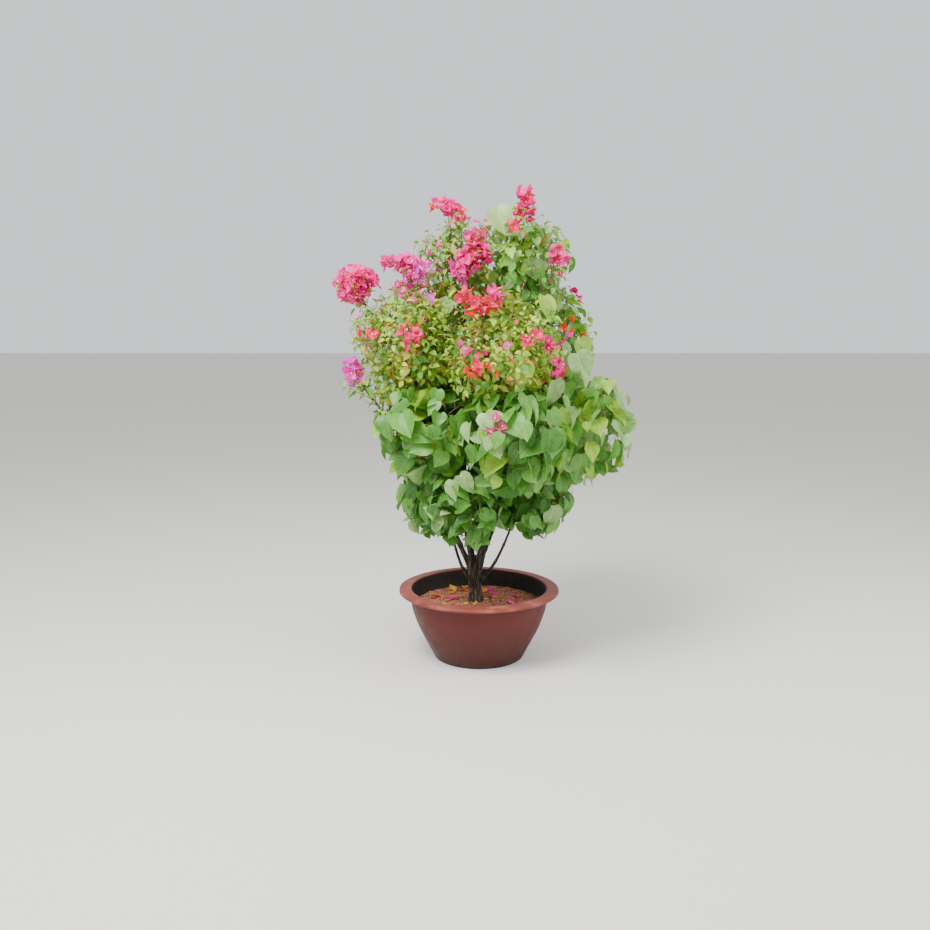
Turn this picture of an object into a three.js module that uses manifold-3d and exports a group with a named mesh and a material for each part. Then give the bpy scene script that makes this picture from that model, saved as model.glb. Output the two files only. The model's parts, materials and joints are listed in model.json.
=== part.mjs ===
// A bougainvillea bush with many stems, in a wide shallow plastic pot.
// Millimetres, +Z up. The origin is under the middle of the pot, and the front faces -Y.
import * as THREE from 'three';
import { mergeVertices } from 'three/addons/utils/BufferGeometryUtils.js';
import Module from 'manifold-3d';

const wasm = await Module();
wasm.setup();

const gap = 0.3; // left between pieces that touch
const goldenTurn = THREE.MathUtils.degToRad(137.5);
const up = new THREE.Vector3(0, 0, 1);

// The pot: a bowl of moulded plastic with a flat turned-out lip.
const pot = {
  rimRadius: 300, height: 265, footRadius: 168, wall: 6, floor: 9, footChamfer: 3,
  lipWidth: 47, lipDepth: 15, lipSlope: 4, wallTopRadius: 259, bellyPower: 1.1,
  drainRadius: 8, drainCircle: 105, drains: 5, drainSides: 8, sides: 32, wallSteps: 5,
};
const soil = { top: 205, edgeDrop: 7, flatRadius: 80 };

// The trunk: a short leaning stump with a lobed root flare.
const trunk = {
  footX: -14, topX: -27, height: 176, footRadius: 23, topRadius: 20,
  flare: 11, flareHeight: 26, lobes: 5, lobeDepth: 0.3, sides: 15, rings: 7,
};

// Foliage in four tiers round the stems. Each tier is a ring of masses, lean shifts it along X.
const tiers = [
  { name: 'lower', count: 4, first: 248, height: 600, lean: 10, reach: 180, half: [165, 165, 170],
    twigs: 5, leaves: 3, leafLength: 138, leafWidth: 0.84, blossomEvery: 0, colour: 'leafDeep' },
  { name: 'middle', count: 5, first: 278, height: 865, lean: 80, reach: 290, half: [200, 200, 220],
    twigs: 6, leaves: 3, leafLength: 160, leafWidth: 0.86, blossomEvery: 0, colour: 'leafMid' },
  { name: 'upper', count: 4, first: 292, height: 1175, lean: -28, reach: 252, half: [222, 214, 245],
    twigs: 7, leaves: 3, leafLength: 148, leafWidth: 0.78, blossomEvery: 4, colour: 'leafFresh' },
  { name: 'crown', count: 2, first: 160, height: 1462, lean: 45, reach: 112, half: [188, 176, 208],
    twigs: 6, leaves: 3, leafLength: 136, leafWidth: 0.78, blossomEvery: 4, colour: 'leafFresh' },
];
const jitter = { height: 22, reach: 12, size: 0.05 }; // how far one mass of a tier differs from the next

// Blossom heads on long canes: the place of each, its half sizes, and the stem that its cane leaves.
const heads = [
  { name: 'left', at: [-432, -90, 1379], half: [92, 85, 80], stem: 4, along: 0.66, colour: 'bractRose' },
  { name: 'left_top', at: [-257, -80, 1443], half: [116, 68, 58], stem: 5, along: 0.46, colour: 'bractPink' },
  { name: 'left_low', at: [-445, -150, 1078], half: [54, 52, 60], stem: 4, along: 0.5, colour: 'bractLilac' },
  { name: 'centre', at: [-36, -130, 1469], half: [84, 70, 104], stem: 5, along: 0.56,
    colour: 'bractCrimson' },
  { name: 'spire', at: [-114, -40, 1635], half: [84, 55, 66], stem: 5, along: 0.72, colour: 'bractCrimson' },
  { name: 'top', at: [156, -20, 1656], half: [54, 50, 92], stem: 5, along: 0.66, colour: 'bractRed' },
  { name: 'front', at: [0, -330, 1316], half: [98, 68, 62], stem: 1, along: 0.7, colour: 'bractRed' },
  { name: 'right', at: [256, -165, 1470], half: [50, 48, 52], stem: 2, along: 0.74, colour: 'bractRose' },
  { name: 'back_right', at: [215, 265, 1400], half: [88, 85, 78], stem: 2, along: 0.66, colour: 'bractRose' },
  { name: 'back_left', at: [-262, 262, 1388], half: [85, 82, 75], stem: 3, along: 0.7, colour: 'bractPink' },
  { name: 'back', at: [40, 415, 1235], half: [88, 66, 64], stem: 3, along: 0.56, colour: 'bractCrimson' },
];
const headShape = { core: 0.6, bracts: 9, bractWidth: 1.4, lean: 0.4, root: 0.72, fill: [0.88, 0.98],
  keep: 0.5 };
const smallBlossom = { count: 3, length: 62, width: 0.9, spread: 0.8 };

// Limbs, from their seat to their tip.
const stemShape = { baseRadius: 10.5, tipRadius: 5, sides: 7, rings: 5 };
const leaderShape = { baseRadius: 11.5, tipRadius: 5.5, sides: 8, rings: 6 };
const sideShape = { baseRadius: 6, tipRadius: 4, sides: 5, rings: 3 };
const lowShape = { baseRadius: 7, tipRadius: 4, sides: 5, rings: 3 };
const caneShape = { baseRadius: 4.5, tipRadius: 3.2, sides: 4, rings: 4 };
const seats = { stem: 0.54, stemStep: 0.08, low: 0.3, lowStep: 0.05, side: 0.4, sideStep: 0.04, fork: 0.62 };
const rises = { stem: 62, low: 40 }; // how steeply limbs leave the trunk, in degrees
const [sideLift, forkLift] = [0.2, 0.3]; // how steeply side limbs turn outwards, in radians
const seatShare = 0.15; // how far inside its mass a limb ends, as a share of the way to the middle
const bend = { leave: 0.38, arrive: 0.3 }; // how far a limb keeps its first and last direction, of its span
const bows = { stem: 0.55, leader: 0.8, low: 0.3, side: 0.15, fork: 0.5, cane: 0.2 }; // how upright limbs end
const turnings = { side: 0.55, fork: 0.4, cane: 0.5 }; // how far side limbs turn away from their stem

// Twigs and leaves.
const twigShape = { radius: 2.8, tipRadius: 1.8, sides: 3, shortest: 40, room: 0.5, roomStep: 0.16,
  first: 0.14, spread: 0.78, forward: 0.35 };
const massStem = { tipRadius: 2, sides: 5, rings: 4, lift: 0.3, keep: 0.6, reach: 0.84, tries: 12,
  swing: 0.2, swingStep: 0.06 };
const leafShape = { thickness: 0.03, thickest: 0.2, shoulder: 0.44, fold: 0.16, sink: 0.5, droop: 0.34,
  smallest: 0.5, tries: 5, forward: 0.4, sizes: [0.82, 1.15], fill: 0.97 };
const leafSeats = { end: 0.98, outer: 0.76, step: 0.36, tuftTurn: 2.1, tuftSpread: 0.7, endSpread: 0.3 };
const clearOf = { space: 3, limb: 2 };

const colours = {
  pot: { color: 0x7a453c, roughness: 0.55 },
  soil: { color: 0x4c3022, roughness: 1 },
  bark: { color: 0x6f6252, roughness: 0.9 },
  leafDeep: { color: 0x3f6b2a, roughness: 0.5 },
  leafMid: { color: 0x6c9a4c, roughness: 0.45 },
  leafFresh: { color: 0x93a348, roughness: 0.5 },
  bractRose: { color: 0xd8486f, roughness: 0.6 },
  bractPink: { color: 0xd95aa0, roughness: 0.6 },
  bractLilac: { color: 0xe07cc0, roughness: 0.6 },
  bractCrimson: { color: 0xc4305c, roughness: 0.6 },
  bractRed: { color: 0xd84a5a, roughness: 0.6 },
};

// The minimal standard generator: the same numbers on every run.
function randomFrom(seed) {
  let state = (seed * 7919 + 1013) % 2147483647;
  return () => {
    state = (state * 16807) % 2147483647;
    return state / 2147483647;
  };
}

function polar(turn, lift) {
  return new THREE.Vector3(Math.cos(turn) * Math.cos(lift), Math.sin(turn) * Math.cos(lift), Math.sin(lift));
}

function mixed(a, b, share) {
  return a.clone().lerp(b, share);
}

// Solids from three.js geometry
function solidOf(geometry) {
  const shape = geometry.clone();
  shape.deleteAttribute('normal');
  shape.deleteAttribute('uv');
  const merged = mergeVertices(shape, 1e-3);
  return new wasm.Manifold(new wasm.Mesh({
    numProp: 3,
    vertProperties: merged.attributes.position.array,
    triVerts: Uint32Array.from(merged.index.array),
  }));
}

function meshOf(name, solid, colour) {
  const { vertProperties, triVerts } = solid.getMesh();
  const geometry = new THREE.BufferGeometry();
  geometry.setAttribute('position', new THREE.BufferAttribute(vertProperties, 3));
  geometry.setIndex(new THREE.BufferAttribute(triVerts, 1));
  geometry.computeVertexNormals();
  const mesh = new THREE.Mesh(geometry, new THREE.MeshStandardMaterial({ ...colours[colour], metalness: 0 }));
  mesh.name = name;
  return mesh;
}

function joined(pieces) {
  let rest = pieces;
  while (rest.length > 1) {
    const pairs = [];
    for (let i = 0; i < rest.length; i += 2) {
      pairs.push(i + 1 < rest.length ? rest[i].add(rest[i + 1]) : rest[i]);
    }
    rest = pairs;
  }
  return rest[0];
}

// The one body of the joined pieces, without loose scraps or sealed hollows.
function fused(pieces) {
  return joined(pieces).decompose().sort((a, b) => b.volume() - a.volume())[0];
}

// The pot's outer wall at a height, a bowl that is steep at the top.
function potRadius(z) {
  const share = Math.min(1, z / (pot.height - pot.lipDepth));
  const swell = Math.sin(share * Math.PI / 2) ** pot.bellyPower;
  return pot.footRadius + (pot.wallTopRadius - pot.footRadius) * swell;
}

function wallHeights(from, to, steps) {
  return Array.from({ length: steps + 1 }, (_, i) => from + (to - from) * i / steps);
}

// The inside of the wall at a height, along its straight facets.
function innerRadius(z) {
  const step = (pot.height - pot.lipDepth - pot.floor) / pot.wallSteps;
  const below = Math.min(pot.wallSteps - 1, Math.floor((z - pot.floor) / step));
  const foot = pot.floor + below * step;
  return THREE.MathUtils.lerp(potRadius(foot), potRadius(foot + step), (z - foot) / step) - pot.wall;
}

function turned(profile) {
  const points = profile.map(([r, z]) => new THREE.Vector2(r, z));
  return solidOf(new THREE.LatheGeometry(points, pot.sides).rotateX(Math.PI / 2));
}

function makePot() {
  const lipUnder = pot.height - pot.lipDepth;
  const mouth = pot.rimRadius - pot.lipWidth;
  const outside = wallHeights(pot.footChamfer, lipUnder, pot.wallSteps).map((z) => [potRadius(z), z]);
  const inside = wallHeights(lipUnder, pot.floor, pot.wallSteps).map((z) => [potRadius(z) - pot.wall, z]);
  const bowl = turned([
    [0, 0], [pot.footRadius - pot.footChamfer, 0], ...outside,
    [pot.rimRadius, lipUnder], [pot.rimRadius, pot.height - pot.lipSlope],
    [pot.rimRadius - 3, pot.height - 1], [mouth + 3, pot.height], ...inside, [0, pot.floor],
  ]);
  return Array.from({ length: pot.drains }).reduce((left, _, i) => {
    const turn = i * 2 * Math.PI / pot.drains;
    const drill = new THREE.CylinderGeometry(pot.drainRadius, pot.drainRadius, 4 * pot.floor, pot.drainSides)
      .rotateX(Math.PI / 2)
      .translate(pot.drainCircle * Math.cos(turn), pot.drainCircle * Math.sin(turn), 0);
    return left.subtract(solidOf(drill));
  }, bowl);
}

function makeSoil() {
  const edge = soil.top - soil.edgeDrop;
  const between = wallHeights(pot.floor, pot.height - pot.lipDepth, pot.wallSteps).slice(1);
  const side = [pot.floor + gap, ...between.filter((z) => z < edge - 10), edge]
    .map((z) => [innerRadius(z) - gap, z]);
  return turned([[0, pot.floor + gap], ...side, [soil.flatRadius, soil.top], [0, soil.top]]);
}

// A tube is a cylinder whose rings are moved onto a curve. turnShape can widen a ring by its angle.
function tube(curve, radiusAt, sides, rings, turnShape = () => 1) {
  const geometry = new THREE.CylinderGeometry(1, 1, 1, sides, rings);
  const place = geometry.attributes.position;
  for (let i = 0; i < place.count; i++) {
    const along = THREE.MathUtils.clamp(place.getY(i) + 0.5, 0, 1);
    const tangent = curve.getTangent(along);
    const reference = Math.abs(curve.reference.dot(tangent)) > 0.95 ? up : curve.reference;
    const side = reference.clone().cross(tangent).normalize();
    const other = side.clone().cross(tangent);
    const radius = radiusAt(along) * turnShape(along, Math.atan2(place.getZ(i), place.getX(i)));
    const point = curve.getPoint(along)
      .addScaledVector(side, place.getX(i) * radius)
      .addScaledVector(other, place.getZ(i) * radius);
    place.setXYZ(i, point.x, point.y, point.z);
  }
  return solidOf(geometry);
}

// A straight line through two points, or a Bezier curve through the ends of three or four.
function curveThrough(...points) {
  const kinds = { 2: THREE.LineCurve3, 3: THREE.QuadraticBezierCurve3, 4: THREE.CubicBezierCurve3 };
  const curve = new kinds[points.length](...points);
  const chord = points.at(-1).clone().sub(points[0]).normalize();
  curve.reference = Math.abs(chord.x) < 0.7 ? new THREE.Vector3(1, 0, 0) : new THREE.Vector3(0, 1, 0);
  return curve;
}

const trunkFoot = new THREE.Vector3(trunk.footX, 0, soil.top + gap);
const trunkTop = new THREE.Vector3(trunk.topX, 0, soil.top + gap + trunk.height);
const trunkCurve = curveThrough(
  trunkFoot,
  new THREE.Vector3(trunk.footX, 0, soil.top + gap + trunk.height * 0.5),
  trunkTop,
);

function trunkSolid(extra) {
  const radiusAt = (along) => {
    const taper = trunk.footRadius + (trunk.topRadius - trunk.footRadius) * along;
    return taper + trunk.flare * Math.exp(-along * trunk.height / trunk.flareHeight) + extra;
  };
  const lobes = (along, turn) => {
    const depth = trunk.lobeDepth * Math.exp(-along * trunk.height / trunk.flareHeight);
    return 1 + depth * 0.5 * Math.cos(trunk.lobes * turn);
  };
  return tube(trunkCurve, radiusAt, trunk.sides, trunk.rings, lobes);
}

// Each mass has its own space: an ellipsoid, cut by a plane between it and each neighbour.
function makeMasses() {
  const made = [];
  for (const tier of tiers) {
    const random = randomFrom(tier.height);
    for (let i = 0; i < tier.count; i++) {
      const turn = THREE.MathUtils.degToRad(tier.first + i * 360 / tier.count);
      const reach = tier.reach + (random() - 0.5) * 2 * jitter.reach;
      const height = tier.height + (random() - 0.5) * 2 * jitter.height;
      const size = 1 + (random() - 0.5) * 2 * jitter.size;
      made.push({
        name: `${tier.name}_foliage_${i + 1}`, kind: tier.name, turn, tier, colour: tier.colour,
        centre: new THREE.Vector3(tier.lean + reach * Math.cos(turn), reach * Math.sin(turn), height),
        half: tier.half.map((h) => h * size),
      });
    }
  }
  for (const head of heads) {
    made.push({
      name: `blossom_${head.name}`, kind: 'head', head, colour: head.colour,
      centre: new THREE.Vector3(...head.at), half: head.half,
    });
  }
  made.forEach((mass, i) => {
    mass.seed = i + 1;
    mass.radius = (mass.half[0] + mass.half[1] + mass.half[2]) / 3;
  });
  return made;
}
const masses = makeMasses();

// How far from its own middle a mass may come towards another. Foliage makes room for a blossom head.
function shareOf(mass, other, apart) {
  const even = (apart ** 2 + mass.radius ** 2 - other.radius ** 2) / (2 * apart);
  if (mass.head && !other.head) return Math.max(even, Math.min(mass.radius, apart - 20));
  if (other.head && !mass.head) return Math.min(even, apart - Math.min(other.radius, apart - 20));
  return even;
}

for (const mass of masses) {
  mass.planes = masses.filter((other) => other !== mass).map((other) => {
    const between = other.centre.clone().sub(mass.centre);
    const apart = between.length();
    const normal = between.normalize();
    return { normal, limit: normal.dot(mass.centre) + shareOf(mass, other, apart) - clearOf.space };
  });
}

function scaled(mass, point) {
  const from = point.clone().sub(mass.centre);
  return new THREE.Vector3(from.x / mass.half[0], from.y / mass.half[1], from.z / mass.half[2]);
}

function inSpace(mass, point) {
  return scaled(mass, point).lengthSq() < 1
    && mass.planes.every(({ normal, limit }) => normal.dot(point) < limit);
}

// How far a twig may run from a point before it leaves the mass's space.
function roomAlong(mass, from, direction) {
  const start = scaled(mass, from);
  const step = new THREE.Vector3(
    direction.x / mass.half[0], direction.y / mass.half[1], direction.z / mass.half[2],
  );
  const a = step.lengthSq();
  const b = start.dot(step);
  const inside = b * b - a * (start.lengthSq() - 1);
  let room = inside > 0 ? (-b + Math.sqrt(inside)) / a : 0;
  for (const { normal, limit } of mass.planes) {
    const closing = normal.dot(direction);
    if (closing > 1e-6) room = Math.min(room, (limit - normal.dot(from)) / closing);
  }
  return Math.max(0, room);
}

// Where a line from a limb's seat to the middle of its mass comes into the mass.
function entryOf(mass, seat) {
  const outward = seat.clone().sub(mass.centre).normalize();
  const room = roomAlong(mass, mass.centre, outward);
  return mass.centre.clone().addScaledVector(outward, room * (1 - seatShare));
}

// Limbs: stems from the trunk, side limbs and canes from the stems.
const limbs = [];

function addLimb(name, mass, seat, first, parent, shape, bow) {
  const tip = entryOf(mass, seat);
  const span = tip.distanceTo(seat);
  const arrival = mixed(mass.centre.clone().sub(tip).normalize(), up, bow).normalize();
  const curve = curveThrough(
    seat, seat.clone().addScaledVector(first, span * bend.leave),
    tip.clone().addScaledVector(arrival, -span * bend.arrive), tip,
  );
  const limb = { name, mass, curve, parent, shape };
  mass.limb = limb;
  limbs.push(limb);
  return limb;
}

function limbSolid(limb, extra = 0) {
  const { baseRadius, tipRadius, sides, rings } = limb.shape;
  const radiusAt = (along) => baseRadius + (tipRadius - baseRadius) * along + extra;
  return tube(limb.curve, radiusAt, sides, rings);
}

function growLimbs() {
  const ofKind = (kind) => masses.filter((mass) => mass.kind === kind);
  const rising = (mass, rise) => polar(mass.turn, THREE.MathUtils.degToRad(rise));
  const stems = ofKind('upper').map((mass, i) => {
    const seat = trunkCurve.getPoint(seats.stem + seats.stemStep * (i % 2));
    return addLimb(`stem_${i + 1}`, mass, seat, rising(mass, rises.stem), 'trunk', stemShape, bows.stem);
  });
  const [leaderMass, forkMass] = ofKind('crown');
  const onward = trunkCurve.getTangent(1);
  const leaderSeat = trunkTop.clone().addScaledVector(onward, gap);
  const leader = addLimb('stem_5', leaderMass, leaderSeat, onward, null, leaderShape, bows.leader);
  stems.push(leader);
  ofKind('lower').forEach((mass, i) => {
    const seat = trunkCurve.getPoint(seats.low + seats.lowStep * (i % 2));
    addLimb(`low_limb_${i + 1}`, mass, seat, rising(mass, rises.low), 'trunk', lowShape, bows.low);
  });
  const middleStems = [stems[0], stems[1], leader, stems[2], stems[3]];
  ofKind('middle').forEach((mass, i) => {
    const parent = middleStems[i];
    const along = seats.side + seats.sideStep * (i % 3);
    const seat = parent.curve.getPoint(along);
    const outward = polar(mass.turn, sideLift);
    const first = mixed(parent.curve.getTangent(along), outward, turnings.side).normalize();
    addLimb(`middle_limb_${i + 1}`, mass, seat, first, parent, sideShape, bows.side);
  });
  const forkTurn = polar(forkMass.turn, forkLift);
  const forkFirst = mixed(leader.curve.getTangent(seats.fork), forkTurn, turnings.fork).normalize();
  addLimb('crown_limb', forkMass, leader.curve.getPoint(seats.fork), forkFirst, leader, sideShape, bows.fork);
  for (const mass of ofKind('head')) {
    const { stem, along, name } = mass.head;
    const parent = stems[stem - 1];
    const seat = parent.curve.getPoint(along);
    const outward = mass.centre.clone().sub(seat).normalize();
    const first = mixed(parent.curve.getTangent(along), outward, turnings.cane).normalize();
    addLimb(`cane_${name}`, mass, seat, first, parent, caneShape, bows.cane);
  }
}
growLimbs();

// Nothing that grows may come this near to a limb.
const guard = joined([trunkSolid(clearOf.limb), ...limbs.map((limb) => limbSolid(limb, clearOf.limb))]);

function isClear(solid) {
  return solid.intersect(guard).isEmpty();
}

// A leaf is a folded kite of eight faces, from its root inside the twig to its tip.
function leafCorners({ root, along, facing, length, width }) {
  const side = along.clone().cross(facing).normalize();
  const over = side.clone().cross(along).normalize();
  const place = (x, y, z) => root.clone()
    .addScaledVector(side, x)
    .addScaledVector(along, y)
    .addScaledVector(over, z);
  const lift = width * leafShape.fold;
  const thick = length * leafShape.thickness / 2;
  return {
    left: place(-width / 2, length * leafShape.shoulder, lift),
    right: place(width / 2, length * leafShape.shoulder, lift),
    root: place(0, 0, 0),
    tip: place(0, length, 0),
    back: place(0, length * leafShape.thickest, -thick),
    front: place(0, length * leafShape.thickest, thick),
  };
}

function leafSolid(leaf) {
  const corners = leafCorners(leaf);
  const geometry = new THREE.OctahedronGeometry(1, 0);
  const place = geometry.attributes.position;
  for (let i = 0; i < place.count; i++) {
    const [x, y, z] = [place.getX(i), place.getY(i), place.getZ(i)];
    const sideways = x > 0.5 ? corners.right : corners.left;
    const lengthways = y > 0.5 ? corners.tip : corners.root;
    const through = z > 0.5 ? corners.front : corners.back;
    const corner = Math.abs(x) > 0.5 ? sideways : Math.abs(y) > 0.5 ? lengthways : through;
    place.setXYZ(i, corner.x, corner.y, corner.z);
  }
  return solidOf(geometry);
}

// A leaf joins what has grown, unless it leaves the mass's space, comes near a limb or crosses
// anything but its own twig and tuft.
function addLeaf(mass, grown, own, leaf) {
  if (!Object.values(leafCorners(leaf)).every((corner) => inSpace(mass, corner))) return null;
  const solid = leafSolid(leaf);
  const crosses = grown.some((other) => !own.includes(other) && !other.intersect(solid).isEmpty());
  if (crosses || !isClear(solid)) return null;
  grown.push(solid);
  return solid;
}

// A direction across a tangent, turned round it.
function across(tangent, turn) {
  const reference = Math.abs(tangent.z) > 0.9 ? new THREE.Vector3(1, 0, 0) : up;
  return tangent.clone().cross(reference).normalize().applyAxisAngle(tangent, turn);
}

// The mass's own stem runs on from its limb's tip to the far side. It tries until it is clear.
function stemOf(mass) {
  const heading = mass.limb.curve.getTangent(1);
  const root = mass.limb.curve.getPoint(1).addScaledVector(heading, gap);
  const { tipRadius } = mass.limb.shape;
  const radiusAt = (along) => tipRadius + (massStem.tipRadius - tipRadius) * along;
  let best;
  for (let i = 0; i < massStem.tries; i++) {
    const onward = mixed(mass.centre.clone().sub(root).normalize(), up, massStem.lift).normalize();
    if (i > 0) {
      const swing = massStem.swing + massStem.swingStep * i;
      onward.addScaledVector(across(onward, i * goldenTurn), swing).normalize();
    }
    const reach = roomAlong(mass, mass.centre, onward) * massStem.reach;
    const far = mass.centre.clone().addScaledVector(onward, reach);
    const middle = root.clone().addScaledVector(heading, root.distanceTo(mass.centre) * massStem.keep);
    const curve = curveThrough(root, middle, far);
    const solid = tube(curve, radiusAt, massStem.sides, massStem.rings);
    best = { curve, solid };
    if (isClear(solid)) break;
  }
  return best;
}

// A leaf grows from a twig, no longer than its room. It turns round the twig until it fits.
function growLeaf(mass, grown, own, base, tangent, { turn, spread, length, width }, random) {
  const sag = leafShape.droop * (0.5 + random());
  const wanted = length * THREE.MathUtils.lerp(...leafShape.sizes, random());
  for (let i = 0; i < leafShape.tries; i++) {
    const along = across(tangent, turn + i * goldenTurn).multiplyScalar(spread);
    along.addScaledVector(tangent, leafShape.forward).addScaledVector(up, -sag).normalize();
    const size = Math.min(wanted, roomAlong(mass, base, along) * leafShape.fill);
    if (size < wanted * leafShape.smallest) continue;
    const facing = base.clone().sub(mass.centre).normalize().add(up);
    const root = base.clone().addScaledVector(along, -leafShape.sink);
    const solid = addLeaf(mass, grown, own, { root, along, facing, length: size, width: size * width });
    if (solid) return solid;
  }
  return null;
}

// Leaves or bracts that spread from one point.
function growTuft(mass, grown, wood, base, tangent, { count, turn, ...leaf }, random) {
  const own = [wood];
  for (let k = 0; k < count; k++) {
    const oneLeaf = { ...leaf, turn: turn + k * leafSeats.tuftTurn };
    const solid = growLeaf(mass, grown, own, base, tangent, oneLeaf, random);
    if (solid) own.push(solid);
  }
}

// A straight twig leaves the mass's stem.
function growTwig(mass, stem, i, random) {
  const share = twigShape.first + twigShape.spread * i / (mass.tier.twigs - 1);
  const base = stem.getPoint(share);
  const tangent = stem.getTangent(share);
  const direction = across(tangent, i * goldenTurn + mass.seed)
    .addScaledVector(tangent, twigShape.forward * (1 + random()))
    .normalize();
  const length = roomAlong(mass, base, direction) * (twigShape.room + twigShape.roomStep * random());
  if (length < twigShape.shortest) return null;
  const curve = curveThrough(base, base.clone().addScaledVector(direction, length));
  const radiusAt = (along) => twigShape.radius + (twigShape.tipRadius - twigShape.radius) * along;
  const solid = tube(curve, radiusAt, twigShape.sides, 1);
  return isClear(solid) ? { curve, solid } : null;
}

function foliageSolid(mass) {
  const { tier } = mass;
  const stem = stemOf(mass);
  const twigs = [];
  for (let i = 0; i < tier.twigs; i++) {
    const random = randomFrom(mass.seed * 100 + i);
    const twig = growTwig(mass, stem.curve, i, random);
    if (twig) twigs.push({ ...twig, i, random });
  }
  const grown = [stem.solid, ...twigs.map((twig) => twig.solid)];
  const leaf = { length: tier.leafLength, width: tier.leafWidth };
  for (const { curve, solid, i, random } of twigs) {
    const blooms = tier.blossomEvery > 0 && i % tier.blossomEvery === 1;
    const single = { ...leaf, count: 1, turn: i, spread: leafSeats.endSpread };
    const end = blooms ? { ...smallBlossom, turn: i } : single;
    const tip = leafSeats.end;
    growTuft(mass, grown, solid, curve.getPoint(tip), curve.getTangent(tip), end, random);
    for (let k = 0; k < tier.leaves - 1; k++) {
      const along = leafSeats.outer - leafSeats.step * k;
      growLeaf(mass, grown, [solid], curve.getPoint(along), curve.getTangent(along),
        { ...leaf, turn: k * goldenTurn + i, spread: 1 }, random);
    }
  }
  const top = { ...leaf, count: 2, turn: 0, spread: leafSeats.tuftSpread };
  const [place, heading] = [stem.curve.getPoint(leafSeats.end), stem.curve.getTangent(leafSeats.end)];
  growTuft(mass, grown, stem.solid, place, heading, top, randomFrom(mass.seed * 100 + 99));
  return fused(grown);
}

// A blossom head: papery bracts that stand out all round from a small core on the cane.
function headSolid(mass) {
  const random = randomFrom(mass.seed * 100);
  const heading = mass.limb.curve.getTangent(1);
  const root = mass.limb.curve.getPoint(1).addScaledVector(heading, gap);
  const middle = root.clone().addScaledVector(heading, root.distanceTo(mass.centre) * headShape.keep);
  const stem = curveThrough(root, middle, mass.centre);
  const core = new THREE.IcosahedronGeometry(headShape.core, 0)
    .scale(...mass.half)
    .translate(mass.centre.x, mass.centre.y, mass.centre.z);
  const wood = [tube(stem, () => mass.limb.shape.tipRadius, massStem.sides, 2), solidOf(core)];
  const bracts = [];
  for (let i = 0; i < headShape.bracts; i++) {
    const outward = polar(i * goldenTurn, Math.asin(1 - 2 * (i + 0.5) / headShape.bracts));
    const surface = outward.clone().multiply(new THREE.Vector3(...mass.half));
    const sideways = across(outward, i * goldenTurn);
    const along = surface.clone().normalize().addScaledVector(sideways, headShape.lean).normalize();
    const root = mass.centre.clone().addScaledVector(surface, headShape.core * headShape.root);
    const length = roomAlong(mass, root, along) * THREE.MathUtils.lerp(...headShape.fill, random());
    addLeaf(mass, bracts, [], {
      root, along, facing: sideways.clone().cross(along), length, width: length * headShape.bractWidth,
    });
  }
  return fused([...wood, ...bracts]);
}

function makeLimb(limb) {
  const solid = limbSolid(limb);
  if (limb.parent === 'trunk') return fused([solid.subtract(trunkSolid(gap))]);
  return limb.parent ? fused([solid.subtract(limbSolid(limb.parent, gap))]) : solid;
}

const bush = new THREE.Group();
bush.add(meshOf('pot', makePot(), 'pot'));
bush.add(meshOf('soil', makeSoil(), 'soil'));
bush.add(meshOf('trunk', trunkSolid(0), 'bark'));
for (const limb of limbs) bush.add(meshOf(limb.name, makeLimb(limb), 'bark'));
for (const mass of masses) {
  bush.add(meshOf(mass.name, mass.head ? headSolid(mass) : foliageSolid(mass), mass.colour));
}

export default bush;
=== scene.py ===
import json
import math
from functools import partial
import bmesh
import bpy
import numpy as np
from mathutils import Matrix, Vector, noise

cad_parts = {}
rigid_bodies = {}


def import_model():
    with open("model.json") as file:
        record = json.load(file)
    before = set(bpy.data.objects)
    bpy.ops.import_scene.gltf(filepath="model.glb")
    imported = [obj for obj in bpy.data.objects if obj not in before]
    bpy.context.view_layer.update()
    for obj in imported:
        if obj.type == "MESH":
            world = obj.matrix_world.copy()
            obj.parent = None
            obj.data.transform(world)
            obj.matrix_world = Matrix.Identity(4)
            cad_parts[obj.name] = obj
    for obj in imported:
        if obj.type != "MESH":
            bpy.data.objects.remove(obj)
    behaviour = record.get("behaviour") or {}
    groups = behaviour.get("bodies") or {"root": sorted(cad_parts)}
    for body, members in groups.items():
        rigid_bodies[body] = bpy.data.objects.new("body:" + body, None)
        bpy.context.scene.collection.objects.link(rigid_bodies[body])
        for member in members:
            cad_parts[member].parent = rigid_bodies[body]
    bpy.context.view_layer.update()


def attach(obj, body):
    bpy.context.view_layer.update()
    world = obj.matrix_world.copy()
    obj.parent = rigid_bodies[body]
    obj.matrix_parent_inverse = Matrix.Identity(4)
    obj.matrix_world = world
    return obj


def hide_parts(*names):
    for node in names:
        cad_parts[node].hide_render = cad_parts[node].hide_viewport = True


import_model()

# A bougainvillea bush in its pot. Sizes below are millimetres, the meshes are metres.
mm = 0.001
gap = 0.3                        # between a piece and what carries it
fullTurn = 2 * math.pi
goldenTurn = math.radians(137.5)
upward = np.array((0.0, 0.0, 1.0))
view = dict(eye=np.array((-52.8, -3403.6, 1234.5)), dip=8.487, lens=36, sensor=36)    # as in the photograph
seeds = dict(leaves=100, others=5, canes=50, shoots=900, large=21, heads=300, clusters=700, soil=11)


# Directions and curves. A curve is a list of two to four Bezier points.
def unit(vectors):
    return vectors / np.maximum(np.linalg.norm(vectors, axis=-1, keepdims=True), 1e-9)


def mixed(a, b, share):
    return a + (b - a) * share


def polar(turn, lift):
    return np.array((math.cos(turn) * math.cos(lift), math.sin(turn) * math.cos(lift), math.sin(lift)))


def pointsOn(curve, shares):
    shares = np.asarray(shares, float).reshape(-1, 1)
    points = [np.asarray(point, float) for point in curve]
    while len(points) > 1:
        points = [mixed(a, b, shares) for a, b in zip(points, points[1:])]
    return np.broadcast_to(points[0], np.broadcast_shapes(points[0].shape, shares.shape))


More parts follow.
